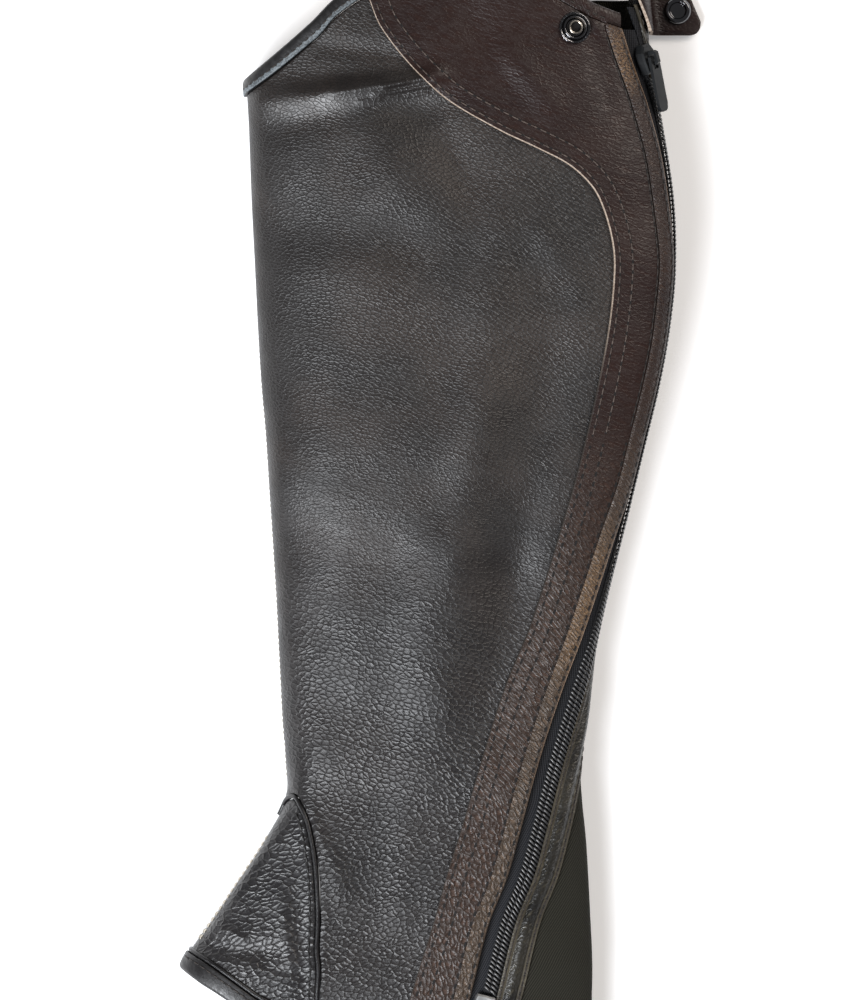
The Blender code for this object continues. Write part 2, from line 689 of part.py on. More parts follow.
def make_trim(lines, looks, outer, smooth_rows, inner, elastic_top):
    seam = lines["seam"]
    cord("instep_piping_outer", seam, looks["piping"])
    cord("instep_piping_inner", mirrored(seam), looks["piping"])

    hem = lines["hem"]
    toe = [at_girth(hem, GAP / 2 + (seam[-1][0] - GAP / 2 - 3.0) * k / 5) for k in range(6)]
    shaft_foot = [at_girth(hem, spot[0]) for spot in outer[-1] if spot]
    stripe_foot = [at_girth(hem, spot[0]) for spot in smooth_rows[-1][2:]]
    outer_hem = toe + shaft_foot + stripe_foot
    inner_foot = [at_girth(hem, -spot[0]) for spot in inner[-1] if spot]
    inner_hem = toe + inner_foot
    steps = downward(outer_hem)
    strip("hem_piping_outer", outer_hem, steps, CORD_PROFILE, looks["piping"])
    strip("hem_piping_inner", mirrored(inner_hem), downward(inner_hem), CORD_PROFILE, looks["piping"])
    near, far = CORD_RADIUS + GAP, HEM_WIDTH
    low, high = BINDING_LEVELS
    band = ((near, low), (far - 1.2, low), (far, low + 1.4), (far, high - 1.4), (far - 1.2, high),
            (near + 0.8, high), (near, high - 0.8))
    strip("hem_band_outer", outer_hem, steps, band, looks["binding"])
    up = HEM_BACK
    last = whole_girth(up) - lines["back"][-1][0] - STRIP_END - GAP
    first = inner_hem[-1][0]
    around = [(first + (last - first) * k / 12, at_girth(hem, first)[1]) for k in range(1, 13)]
    band_path = inner_hem + around
    strip("hem_band_inner", mirrored(band_path), downward(band_path), band, looks["binding"])

    lap_top = [at_girth(lines["top"], spot[0]) for spot in outer[0]]
    smooth_top = [at_girth(lines["top"], spot[0]) for spot in smooth_rows[0][2:]]
    path = lap_top + smooth_top
    roll = ((0.0, low + 1.2), (0.0, high - 1.2), (1.2, high), (BINDING - 0.6, high), (BINDING, high - 0.6),
            (BINDING, low + 0.6), (BINDING - 0.6, low), (1.2, low))
    strip("top_binding_outer", path, downward(path), roll, looks["binding"])
    inner_top = [at_girth(lines["under_top"], -spot[0]) for spot in inner[0]]
    for girth, up in elastic_top[-2::-1]:
        inner_top.append(at_girth(lines["under_top"], whole_girth(up) - girth))
    inner_top.pop()
    strip("top_binding_inner", mirrored(inner_top), downward(inner_top), roll, looks["binding"])


def make_zip(lines, looks):
    back = lines["back"]
    outer_ups = heights(back, 187.9, TAPE_FOOT)
    inner_ups = heights(back, 197.0, TAPE_FOOT)
    wall("zip_tape_outer", zip_rows(outer_ups, (-FACING, 0.0, TAPE_SHOWS, CHAIN_MIDDLE - GAP)),
         0.0, -TAPE_THICK, looks["tape"])
    wall("zip_tape_inner", zip_rows(inner_ups, (CHAIN_MIDDLE + GAP, STRIP_START, TAPE_END)),
         0.0, -TAPE_THICK, looks["tape"])
    chain_path = [row[0] for row in zip_rows(heights(back, CHAIN_TOP, CHAIN_FOOT), (0.0,))]
    left, right = CHAIN_MIDDLE - CHAIN / 2, CHAIN_MIDDLE + CHAIN / 2
    top = GAP + CHAIN_HIGH
    chain = ((left, GAP), (left, top - 0.8), (left + 0.9, top), (CHAIN_MIDDLE - 0.4, top),
             (CHAIN_MIDDLE, top - 0.4), (CHAIN_MIDDLE + 0.4, top), (right - 0.9, top), (right, top - 0.8),
             (right, GAP), (CHAIN_MIDDLE, GAP))
    strip("zip_chain", chain_path, [(1.0, 0.0)] * len(chain_path), chain, looks["tape"])
    strip_path = [row[0] for row in zip_rows(heights(back, 198.0, -214.0), (0.0,))]
    start = STRIP_START
    rolled = ((start, GAP), (start, GAP + 0.9), (start + 2.2, GAP + 1.4), (start + 4.6, GAP + 2.1),
              (start + 7.0, GAP + 1.5), (STRIP_END, GAP + 1.1), (STRIP_END, GAP), (TAPE_END, GAP))
    strip("back_strip", strip_path, [(1.0, 0.0)] * len(strip_path), rolled, looks["strip"])
    return make_elastic(lines, looks)


def elastic_row(up):
    """Places across the elastic at one height, its first two under the rolled strip."""
    near = zip_girth(up) + STRIP_END
    far = upper_girth(up) + ELASTIC_UNDER
    row = [(near - STRIP_END + TAPE_END + GAP, up)]
    return row + [(near + (far - near) * u, up) for u in (0.0, 0.12, 0.24, 0.36, 0.48, 0.6, 0.75, 1.0)]


def make_elastic(lines, looks):
    foot_up = at_girth(below(lines["hem"], -CORD_RADIUS - GAP), 150.0)[1]
    rows = [elastic_row(up) for up in heights(lines["back"], 190.0, foot_up)]
    top = []
    for k, (girth, up) in enumerate(rows[0]):
        for _ in range(4):
            up = at_girth(lines["under_top_in"], whole_girth(up) - girth)[1]
            girth = elastic_row(up)[k][0]
        top.append((girth, up))
    wall("elastic_panel", [top] + rows, 0.0, -ELASTIC_THICK, looks["elastic"])
    return top


def chain_girth(up):
    return zip_girth(up) + CHAIN_MIDDLE


def on_chain(up, off_middle, reach):
    """Placement of a hard piece on the chain, lined up over a reach of it."""
    heading = (chain_girth(up + reach) - chain_girth(up - reach), 2 * reach)
    return seat(chain_girth(up) + off_middle, up, 0.0, heading)


def make_zip_metal(looks):
    at = on_chain(SLIDER_UP, SLIDER_ASIDE, 8.0)
    half_long, half_wide = SLIDER_LONG / 2, SLIDER_WIDE / 2
    outline = ((-half_wide * 0.78, -half_long), (half_wide * 0.78, -half_long), (half_wide, -half_long * 0.1),
               (half_wide, half_long * 0.5), (half_wide * 0.55, half_long), (-half_wide * 0.55, half_long),
               (-half_wide, half_long * 0.5), (-half_wide, -half_long * 0.1))
    points, faces = block(outline, 0.55, SLIDER_HIGH, 0.8)
    slider = loose("zip_slider", points, faces, looks["black_metal"], at, 30.0)
    join = slider.modifiers.new("arch", "BOOLEAN")
    join.operation = "UNION"
    join.object = arch_guide(at, looks["black_metal"])

    half = PULL_WIDE / 2
    rows = []
    for y, wide in ((0.7, half), (-0.7, half), (-4.4, half), (-8.0, half), (-PULL_LONG + 3.0, half),
                    (-PULL_LONG + 0.8, half * 0.8), (-PULL_LONG, half * 0.45)):
        rows.append([(side * wide, y, 0.0) for side in (-1.0, -PULL_ARM / half, PULL_ARM / half, 1.0)])
    pull = plate("zip_pull", rows, (1, 1), Vector((0.0, 0.0, PULL_THICK / 2)), looks["black_metal"])
    axis = at @ Matrix.Translation((0.0, 0.0, (SLIDER_HIGH + PULL_AXIS) * MM))
    pull.matrix_world = axis @ Matrix.Rotation(math.radians(PULL_REST), 4, "X")

    at = on_chain(CHAIN_FOOT - GAP - BOX_LONG / 2 - 0.4, BOX_ASIDE, 6.0)
    x, y = BOX_WIDE / 2, BOX_LONG / 2
    outline = ((-x + 0.5, -y), (x - 0.5, -y), (x, -y + 1), (x, y - 1), (x - 0.5, y), (-x + 0.5, y),
               (-x, y - 1), (-x, -y + 1))
    points, faces = block(outline, 0.45, BOX_HIGH, 0.7)
    loose("zip_box", points, faces, looks["silver"], at, 30.0)


def plate(name, rows, window, half_thick, material):
    """A flat plate over a grid of points, with one cell left open."""
    points, faces, edges = [], [], {}
    wide = len(rows[0])
    for row in rows:
        for point in row:
            points += [Vector(point) + half_thick, Vector(point) - half_thick]
    for i in range(len(rows) - 1):
        for j in range(wide - 1):
            if (i, j) == window:
                continue
            a, b = 2 * (i * wide + j), 2 * (i * wide + j + 1)
            d, c = a + 2 * wide, b + 2 * wide
            faces += [(a, b, c, d), (d + 1, c + 1, b + 1, a + 1)]
            for edge in ((a, b), (b, c), (c, d), (d, a)):
                if edge[::-1] in edges:
                    del edges[edge[::-1]]
                else:
                    edges[edge] = True
    for start, end in edges:
        faces.append((end, start, start + 1, end + 1))
    return finish_mesh(name, [point + CENTRE for point in points], faces, material, 30.0)


def arch_guide(at, material):
    """The slider's arch, two posts and a bar in the plane along the zip."""
    foot, under = SLIDER_HIGH - 1.0, SLIDER_HIGH + 0.35
    over = SLIDER_HIGH + PULL_AXIS + 1.25
    top = over + 1.1
    rows = [[(0.0, y, z) for y in (-2.9, -1.5, 1.5, 2.9)] for z in (foot, under, over)]
    rows.append([(0.0, y, top) for y in (-2.1, -1.2, 1.2, 2.1)])
    arch = plate("arch_guide", rows, (1, 1), Vector((ARCH_WIDE / 2, 0.0, 0.0)), material)
    arch.matrix_world = at
    arch.hide_render = True
    arch.display_type = "WIRE"
    return arch


def make_snap(looks):
    stud = ((0, 0), (6.3, 0), (6.3, 0.5), (5.7, 0.95), (4.9, 0.8), (4.6, 1.6), (3.9, 1.6), (3.4, 0.9),
            (2.5, 1.1), (2.75, 3.0), (2.2, 3.5), (1.7, 3.3), (1.7, 1.6), (0, 1.6))
    points, faces = lathe(stud, SNAP_SIDES)
    at = seat(girth_at(SNAP_X, SNAP_UP), SNAP_UP, SMOOTH_FACE + GAP, (0.0, 1.0))
    loose("snap_stud", points, faces, looks["gunmetal"], at)

    level = 2 * GAP + 2.3 + TAB_THICK / 2  # clear of the rolled strip

    def tab(along, up, off):
        root = zip_girth(up) + TAB_FROM
        edge = upper_girth(up)
        if along <= edge - root:
            return place(root + along, up, level + off)
        rest = along - (edge - root)
        corner = place(edge, up, level)
        corner.y = up
        drop = corner.z - TAB_REST - TAB_BEND
        if rest <= drop:
            return corner + Vector((off, 0.0, -rest))
        rest -= drop
        if rest <= TAB_BEND * math.pi / 2:
            turn = rest / TAB_BEND
            radius = TAB_BEND - off
            return corner + Vector((TAB_BEND - radius * math.cos(turn), 0.0, -drop - radius * math.sin(turn)))
        rest -= TAB_BEND * math.pi / 2
        return corner + Vector((TAB_BEND + rest, 0.0, -drop - TAB_BEND + off))

    middle, half = (TAB_HIGH + TAB_LOW) / 2, (TAB_HIGH - TAB_LOW) / 2
    held = upper_girth(middle) - zip_girth(middle) - TAB_FROM
    bend = TAB_BEND * math.pi / 2
    flat_start = held + place(upper_girth(middle), middle, level).z - TAB_REST - TAB_BEND + bend
    stops = [(0.0, 1.0), (held * 0.5, 1.0), (held, 1.0), (held + 5.0, 1.0)]
    stops += [(flat_start - bend * k / 3, 1.0) for k in (3, 2, 1, 0)]
    stops += [(flat_start + TAB_OUT - short, wide) for short, wide in ((6.0, 0.94), (2.6, 0.78), (0.6, 0.5))]
    rows = [[(stop, middle + half * wide * s) for s in (-1.0, 0.0, 1.0)] for stop, wide in stops]
    wall("snap_tab", rows, TAB_THICK / 2, -TAB_THICK / 2, looks["smooth"], on=tab)

    centre = tab(flat_start + TAB_OUT - 8.0, middle, 0.0)
    cap = ((0, 0), (5.6, 0), (6.3, 0.5), (6.3, 1.1), (0, 1.1))
    socket = ((0, 0), (5.4, 0), (5.4, 0.6), (4.6, 1.5), (3.6, 1.5), (3.0, 0.7), (0, 0.7))
    over_tab = centre.z + TAB_THICK / 2 + GAP
    for name, profile, height in (("snap_cap", cap, 0.0), ("snap_socket", socket, over_tab)):
        points, faces = lathe(profile, SNAP_SIDES)
        at = Matrix.Translation((Vector((centre.x, centre.y, height)) - CENTRE) * MM)
        loose(name, points, faces, looks["gunmetal"], at)


def make_strap(looks):
    """The strap is sewn inside both hems and hangs clear of them."""
    low, high = BINDING_LEVELS
    top_level = low - GAP - STRAP_THICK / 2
    under_level = high - low + GAP + STRAP_THICK / 2

    def strap(x, along, off):
        if along < 0.0:
            up = STRAP_LOW - STRAP_LAP * along
            return Vector((x, up, place(girth_at(x, up), up, top_level + off).z))
        if along > 1.0:
            return Vector((x, STRAP_LOW + STRAP_LAP * (along - 1.0), under_level - off))
        start = place(girth_at(x, STRAP_LOW), STRAP_LOW, top_level)
        turn = math.pi / 2 + math.pi * along
        y = STRAP_LOW + (STRAP_LOOP + off) * math.cos(turn)
        z = (start.z + under_level) / 2 + ((start.z - under_level) / 2 + off) * math.sin(turn)
        return Vector((x, y, z))

    rows = []
    for along in (-1.0, -0.5, 0.0, 0.14, 0.28, 0.42, 0.58, 0.72, 0.86, 1.0, 1.5, 2.0):
        rows.append([(STRAP_FROM + STRAP_WIDE * k / 3, along) for k in range(4)])
    wall("stirrup_strap", rows, STRAP_THICK / 2, -STRAP_THICK / 2, looks["elastic"], on=strap)


def main():
    for item in list(bpy.data.objects):
        bpy.data.objects.remove(item, do_unlink=True)
    looks = {
        "grained": paint("grained_leather", (0.060, 0.052, 0.050), 0.48),
        "smooth": paint("smooth_brown_leather", (0.045, 0.026, 0.022), 0.42),
        "facing": paint("worn_facing_leather", (0.110, 0.062, 0.038), 0.45),
        "strip": paint("rolled_strip_leather", (0.075, 0.050, 0.036), 0.42),
        "binding": paint("binding_leather", (0.050, 0.046, 0.047), 0.55),
        "piping": paint("piping_leather", (0.018, 0.016, 0.018), 0.38),
        "tape": paint("zip_tape_fabric", (0.016, 0.018, 0.022), 0.75),
        "elastic": paint("ribbed_elastic", (0.040, 0.037, 0.030), 0.85),
        "black_metal": paint("black_zip_metal", (0.020, 0.021, 0.022), 0.30, 0.7),
        "silver": paint("silver_zip_box", (0.62, 0.62, 0.60), 0.28, 1.0),
        "gunmetal": paint("gunmetal_snap", (0.085, 0.083, 0.080), 0.26, 1.0),
    }
    lines = layout()
    outer, smooth_rows, inner = make_leather(lines, looks)
    elastic_top = make_zip(lines, looks)
    make_trim(lines, looks, outer, smooth_rows, inner, elastic_top)
    make_zip_metal(looks)
    make_snap(looks)
    make_strap(looks)


main()
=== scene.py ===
"""Looks of the half chap: fine leather shells on its solids, sewing, zip coil, finishes and light.

Lengths are in millimetres until a mesh is made. A place on the leather is its girth, the distance
round the leg from the front seam over the upper side, and its height up the leg; a negative girth
goes round the underside. A level is a distance out from the leather's face.
"""

import math
from bisect import bisect_right
from functools import lru_cache

import bpy
import numpy as np
from mathutils import Matrix, Vector


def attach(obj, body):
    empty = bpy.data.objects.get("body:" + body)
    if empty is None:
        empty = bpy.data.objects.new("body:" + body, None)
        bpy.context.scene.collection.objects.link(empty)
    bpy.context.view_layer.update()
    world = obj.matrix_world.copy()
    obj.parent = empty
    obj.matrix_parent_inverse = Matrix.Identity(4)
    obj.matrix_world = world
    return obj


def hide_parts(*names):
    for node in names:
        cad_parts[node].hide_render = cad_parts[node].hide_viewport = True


MM = 0.001
CENTRE = np.array((8.23, -13.46, 0.0))  # middle of the model, in the sizes below
LEATHER = 1.6
GAP = 0.3

# The leg as it lies, seen from above: up the leg, front edge, back edge, height of the crown.
LEG = (
    (-250, -122.0, 69.0, 27.0), (-216, -112.0, 69.0, 28.0), (-200, -104.0, 69.0, 28.5),
    (-188, -96.0, 69.2, 29.0), (-180, -91.7, 69.0, 29.0), (-168, -83.2, 68.4, 29.5),
    (-152, -72.4, 67.6, 30.0), (-136, -62.0, 66.6, 30.0), (-120, -54.0, 65.0, 30.5),
    (-104, -54.0, 64.2, 31.0), (-88, -55.2, 65.4, 31.5), (-72, -56.0, 67.0, 32.5),
    (-56, -56.8, 69.4, 33.5), (-40, -57.6, 72.8, 34.5), (-8, -59.6, 80.8, 36.0),
    (26, -61.8, 89.2, 37.0), (46, -63.6, 94.0, 37.6), (68, -65.0, 98.0, 38.2),
    (92, -66.2, 100.4, 38.5), (120, -67.6, 99.6, 38.5), (152, -68.8, 94.8, 38.0),
    (176, -70.2, 90.6, 37.5), (200, -71.0, 87.8, 37.0), (230, -72.0, 84.0, 36.5),
)
FRONT_SIDE = 0.35   # height where the front edge stands widest, as a share of the crown
BACK_SIDE = 0.55    # the same at the back
FRONT_ROUND = 0.33  # how far the front edge rounds away underneath, as a share of the crown
BACK_ROUND = 0.42
DOME_POWER = 2.5    # 2 is an ellipse, more is flatter on top
OVER_POINTS = 141   # points of a section's upper side
ROLL_POINTS = 24    # points of each rounded edge below it
FADE = 16.0         # folds die out over this girth towards both edges
SPREAD = 1.6        # and over this many half widths beyond their ends

# Folds in the upper side, seen from above: across and up the leg at both ends, half width and
# height, a trough below zero. The twelve long folds of the solids come first, then small creases.
FOLDS = (
    (52, 60, 38, -30, 12.0, -1.9), (38, -30, 30, -84, 10.0, -1.8), (2, -20, -8, -160, 8.0, 1.3),
    (-90, -178, -62, -181, 4.0, -1.6), (-62, -138, -77, -160, 6.0, 1.2), (-86, -169, -74, -176, 4.0, 0.8),
    (-46, -114, -33, -152, 5.0, 1.0), (-64, 157, 2, 165, 6.0, 1.1), (-38, 181, -12, 178, 4.0, -0.8),
    (4, 150, 20, 132, 10.0, -1.2), (-20, 146, 4, 108, 12.0, 1.2), (-40, 40, -30, -60, 12.0, 0.9),
    (-62, 160.5, 4, 168.5, 4.5, 1.1), (-34, 163, 6, 169, 3.6, 1.0), (-58, -133, -75, -158, 5.0, 0.9),
    (-50, -146, -46, -196, 3.6, -0.7), (-56, 149, 6, 157, 6.0, -0.7), (30, 104, 24, 40, 10.0, 1.0),
    (24, 40, 13, -24, 10.0, 1.4), (13, -24, 8, -80, 10.0, 1.4), (8, -80, 4, -150, 9.0, 1.1),
    (-56, 12, 6, 24, 24.0, 2.2), (-44, 106, -4, 104, 13.0, -1.1), (-52, -62, -40, -100, 7.0, 0.9),
    (34, -104, 12, -172, 17.0, 1.9), (-14, 128, -22, 96, 10.0, 0.9), (12, 140, 20, 118, 7.0, -0.8),
    (50, 104, 60, 88, 6.0, 0.7), (36, 176, 50, 160, 6.0, 0.9), (22, 190, 34, 168, 7.0, -0.7),
    (68, 186, 74, 160, 5.0, -0.6), (3, 168, -14, 164.5, 0.9, 0.45), (4, 165, -18, 161.4, 0.9, 0.50),
    (2, 162.2, -24, 158.6, 1.0, 0.45), (-6, 166.4, -32, 162.2, 1.1, 0.38),
    (5, 163.6, -14, 160.2, 0.8, -0.35), (4, 166.6, -12, 163.2, 0.8, -0.35),
    (-50, -113.5, -46, -126, 1.4, 0.35), (-46, -121, -38, -139, 1.3, 0.40),
    (-42, -119, -35, -134, 1.2, -0.25), (-66, -146, -74, -156, 1.6, 0.35),
    (-60, -141, -66, -150, 1.2, -0.25), (-62, -186, -48, -190, 2.2, -0.5),
    (-82, -170, -70, -175.5, 1.6, 0.4), (-56, -160, -52, -184, 2.4, 0.4), (66, 197, 71, 186, 1.4, 0.55),
    (68.5, 200, 74, 186, 1.2, -0.4), (52, 208, 66, 199, 1.6, 0.4),
)
SWELL = 0.2  # height of the slow unevenness
SWELL_LENGTHS = (95.0, 64.0, 45.0, 31.0)

# Edges seen from above: across, up the leg.
TOP_EDGE = (
    (-70.6, 168.0), (-55.2, 180.4), (-43.2, 190.8), (-34.0, 200.0), (-20.0, 208.5), (0.0, 215.5),
    (26.0, 218.0), (45.0, 212.5), (60.0, 203.5), (69.0, 198.4), (79.0, 194.6),
)
INNER_TOP_EDGE = (
    (-70.6, 168.0), (-60.0, 169.5), (-48.0, 173.5), (-22.0, 188.0), (12.0, 199.0), (48.0, 206.0),
    (71.0, 208.0),
)
HEM = (
    (-92.2, -180.4), (-84.4, -184.8), (-76.8, -190.0), (-69.6, -195.2), (-64.0, -199.0),
    (-50.0, -205.2), (-36.0, -209.4), (0.0, -216.0), (16.0, -217.4),
)
HEM_BACK = -217.6
SMOOTH_EDGE = (
    (-20.4, 200.0), (-15.6, 188.4), (-2.8, 172.0), (11.2, 159.2), (31.6, 147.2), (46.8, 140.0),
    (59.6, 133.2), (68.4, 124.8), (72.8, 116.4), (76.2, 104.4), (77.2, 93.2), (75.6, 73.6),
    (71.6, 50.0), (64.8, 20.0), (54.8, -16.0), (44.4, -49.2), (34.4, -73.2), (26.8, -96.0),
    (20.8, -116.0), (16.4, -131.2), (10.4, -150.4), (5.2, -169.2), (-2.8, -194.8), (-9.0, -216.6),
)
STRIPE_BACK_EDGE = (
    (70.0, 212.0), (74.6, 200.0), (79.6, 188.0), (83.3, 176.8), (86.2, 168.4), (89.6, 158.0),
    (95.0, 136.0), (98.4, 112.0), (99.3, 92.0), (96.9, 68.0), (92.8, 46.0), (88.0, 26.0),
    (83.4, 8.0), (76.1, -16.0), (69.2, -38.0), (62.7, -57.6), (56.2, -75.6), (49.9, -94.8),
    (43.7, -115.6), (39.8, -131.2), (34.6, -150.4), (27.2, -169.2), (20.8, -195.0), (15.0, -217.4),
)
INSTEP_SEAM = (
    (-57.2, -126.4), (-54.2, -121.4), (-50.0, -118.8), (-46.8, -123.2), (-44.4, -130.0),
    (-42.8, -138.4), (-41.4, -150.0), (-40.8, -165.0), (-41.0, -183.6), (-41.2, -200.0),
    (-41.4, -208.0),
)
SEAM_TIP = 2        # the instep seam's third point is its tip
PER_SPAN = 16       # points of a smooth line between two given ones
LAP = 7.0           # the leather that runs on under the smooth panel
BINDING = 6.0
BAND_LOW, BAND_HIGH = -2.4, 1.6
HEM_WIDTH = 8.8
CORD_RADIUS = 0.95
CORD_LEVEL = 0.1
CORD_OFF = CORD_RADIUS + GAP
FACING_THICK = 0.9
SMOOTH_FACE = GAP + LEATHER
FACING_LOW = SMOOTH_FACE + GAP
FRONT = GAP / 2     # girth where the panels start beside the front seam

# Across the zip, from the stripe's edge towards the back.
FACING = 6.4
TAPE_SHOWS = 4.4
CHAIN = 6.0
STRIP = 10.0
CHAIN_MIDDLE = TAPE_SHOWS + CHAIN / 2
STRIP_START = TAPE_SHOWS + CHAIN + GAP
STRIP_END = STRIP_START + STRIP
TAPE_END = STRIP_START + 3.6
TAPE_THICK = 0.9
CHAIN_TOP, CHAIN_FOOT = 168.5, -197.0
TAPE_TOP, TAPE_FOOT = 187.9, -215.8
TAPE_WIDE = FACING + CHAIN_MIDDLE - GAP
TAPE_LONG = 410.0
TOOTH_PITCH = 1.75
ROLL_FROM, ROLL_TO = 2.1, 8.0
ELASTIC_THICK = 1.5
ELASTIC_UNDER = 38.0

# Rows and columns of the shells.
STRIPE_TOP = 188.0
TIP_UP = -117.4
ROWS_ABOVE, ROWS_BELOW = 280, 88
TIP_COLUMN = 16
TIP_SHARE = 0.117
CREASED_ROWS = 0.22  # share of the rows above the tip that lies close together, for the top's wrinkles
INSTEP_COLUMNS = 48
FACING_ROWS = 960
RIB_PITCH = 2.2  # of the facing's slanting wrinkles
ELASTIC_ROWS, ELASTIC_COLUMNS = 300, 46

# Snap, its tab and the elastic strap.
SNAP_X, SNAP_UP = 61.2, 188.0
TAB_FROM = 11.6
TAB_LOW, TAB_HIGH = 187.2, 207.0
TAB_THICK = 1.6
TAB_LEVEL = 2 * GAP + 2.3 + TAB_THICK / 2
TAB_REST = 2.3
TAB_BEND = 5.0
TAB_OUT = 15.0
TAB_ROUND = 8.0
STRAP_FROM, STRAP_WIDE = -45.0, 30.0
STRAP_THICK = 1.2
STRAP_LAP = 22.0
STRAP_LOW = HEM_BACK - 14.0
STRAP_LOOP = 13.2
STRAP_LONG = 86.0
STRAP_LEVEL = BAND_LOW - GAP - STRAP_THICK / 2
STRAP_UNDER = BAND_HIGH - BAND_LOW + GAP + STRAP_THICK / 2

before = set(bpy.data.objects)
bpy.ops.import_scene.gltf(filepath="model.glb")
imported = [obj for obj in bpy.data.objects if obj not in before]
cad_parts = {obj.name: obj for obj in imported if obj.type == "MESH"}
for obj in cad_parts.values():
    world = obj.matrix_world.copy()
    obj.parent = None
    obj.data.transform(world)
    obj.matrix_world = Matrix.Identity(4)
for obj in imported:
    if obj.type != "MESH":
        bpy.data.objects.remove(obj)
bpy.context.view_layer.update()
rng = np.random.default_rng(7)


# Lines of places

def pairs(girth, up):
    return np.stack(np.broadcast_arrays(girth, up), axis=-1)


def stretches(stops, counts):
    """Numbers in even steps between stops, with a count of steps for each stretch."""
    parts = [np.linspace(a, b, count + 1)[1:] for a, b, count in zip(stops, stops[1:], counts)]
    return np.concatenate(([stops[0]], *parts))


def lengths(line):
    """Distance along a line at each of its points."""
    return np.concatenate(([0.0], np.cumsum(np.linalg.norm(np.diff(line, axis=0), axis=1))))


def sampled(line, steps, at):
    """A line whose points stand at known steps, read at others."""
    return np.stack([np.interp(at, steps, column) for column in line.T], axis=1)


def cut_into(line, shares):
    """The line cut at shares of its length."""
    steps = lengths(line)
    return sampled(line, steps, shares * steps[-1])


def spaced(line, count):
    return cut_into(line, np.linspace(0.0, 1.0, count + 1))


def smooth(knots, values, at):
    """Cubic through the values, each knot's slope taken from its two neighbours."""
    last = len(knots) - 1
    low = min(max(bisect_right(knots, at) - 1, 0), last - 1)
    span = knots[low + 1] - knots[low]

    def slope(i):
        before, after = max(i - 1, 0), min(i + 1, last)
        return (values[after] - values[before]) / (knots[after] - knots[before])

    t = (at - knots[low]) / span
    rise = values[low + 1] - values[low]
    start, end = slope(low) * span, slope(low + 1) * span
    return values[low] + t * (start + t * (3 * rise - 2 * start - end + t * (start + end - 2 * rise)))


def spline(points):
    """Points of a smooth line through the given ones."""
    knots = list(lengths(points))
    stops = stretches(knots, [PER_SPAN] * (len(points) - 1))
    return np.array([[smooth(knots, column, at) for column in zip(*points)] for at in stops])


# The leather's surface

@lru_cache(maxsize=None)
def ring(up):
    """Girths, across and height of the leather's face at one height up the leg, all the way round."""
    ups, *sides = zip(*LEG)
    front, back, crown = (smooth(ups, side, up) for side in sides)
    middle, half = (front + back) / 2, (back - front) / 2
    turn = np.linspace(math.pi, 0.0, OVER_POINTS)
    cosine, sine = np.cos(turn), np.sin(turn)
    power = 2 / DOME_POWER
    side = crown * (FRONT_SIDE + (BACK_SIDE - FRONT_SIDE) * (1 + cosine) / 2)
    over_x = middle + half * np.sign(cosine) * np.abs(cosine) ** power
    over_z = side + (crown - side) * np.abs(sine) ** power
    quarter = np.linspace(0.0, math.pi / 2, ROLL_POINTS + 1)[1:]
    inward, fallen = crown * (1 - np.cos(quarter)), crown * (1 - np.sin(quarter))
    x = np.concatenate((over_x, back - inward * BACK_ROUND, (front + inward * FRONT_ROUND)[::-1], [front]))
    z = np.concatenate((over_z, fallen * BACK_SIDE, (fallen * FRONT_SIDE)[::-1], [crown * FRONT_SIDE]))
    girth = lengths(pairs(x, z))
    return girth, x, z, girth[OVER_POINTS - 1]


GIRTH_STEP = 0.5
UPS = np.arange(-248.0, 229.0, 1.0)
GIRTHS = np.arange(-200.0, 400.0, GIRTH_STEP)
WHOLE = np.array([ring(up)[0][-1] for up in UPS])
UPPER = np.array([ring(up)[3] for up in UPS])
ACROSS, HEIGHT = (np.array([np.interp(GIRTHS % ring(up)[0][-1], ring(up)[0], ring(up)[k]) for up in UPS])
                  for k in (1, 2))


def whole_girth(up):
    return np.interp(up, UPS, WHOLE)


def upper_girth(up):
    """Girth of the back edge: all that is seen from above."""
    return np.interp(up, UPS, UPPER)


def girth_at(across, up):
    """Girth of a place on the upper side that is seen from above at this distance across."""
    girth, x, _, _ = ring(round(float(up), 3))
    return float(np.interp(across, x[:OVER_POINTS], girth[:OVER_POINTS]))


def under_at(across, up):
    """Distance round the underside from the front seam to a place seen at this distance across."""
    girth, x, _, _ = ring(round(float(up), 3))
    return float(girth[-1] - np.interp(across, x[:OVER_POINTS - 1:-1], girth[:OVER_POINTS - 1:-1]))


def bare(girth, up):
    """The leather's face without folds, for arrays of places."""
    row = np.clip(up - UPS[0], 0, len(UPS) - 1.001)
    column = np.clip((girth - GIRTHS[0]) / GIRTH_STEP, 0, len(GIRTHS) - 1.001)
    i, j = row.astype(int), column.astype(int)
    v, u = row - i, column - j
    x, z = ((1 - v) * ((1 - u) * table[i, j] + u * table[i, j + 1])
            + v * ((1 - u) * table[i + 1, j] + u * table[i + 1, j + 1]) for table in (ACROSS, HEIGHT))
    return np.stack((x, up, z), axis=-1)


def unit(vectors):
    return vectors / np.maximum(np.linalg.norm(vectors, axis=-1, keepdims=True), 1e-9)


def directions(girth, up):
    """Unit direction round the leg, direction per millimetre up the leg, and the normal."""
    step = 0.75
    around = unit(bare(girth + step, up) - bare(girth - step, up))
    along = (bare(girth, up + step) - bare(girth, up - step)) / (2 * step)
    return around, along, unit(np.cross(around, along))


def fold_height(x, up):
    """How far folds lift or press the upper side."""
    total = np.zeros_like(x)
    for x_from, up_from, x_to, up_to, half, height in FOLDS:
        run = np.array((x_to - x_from, up_to - up_from), float)
        length = np.hypot(*run)
        run /= length
        dx, dy = x - x_from, up - up_from
        along = dx * run[0] + dy * run[1]
        off = dx * run[1] - dy * run[0]
        beyond = np.maximum(0.0, np.maximum(-along, along - length))
        total += height * np.exp(-(off / half) ** 2 - (beyond / (SPREAD * half)) ** 2)
    return total


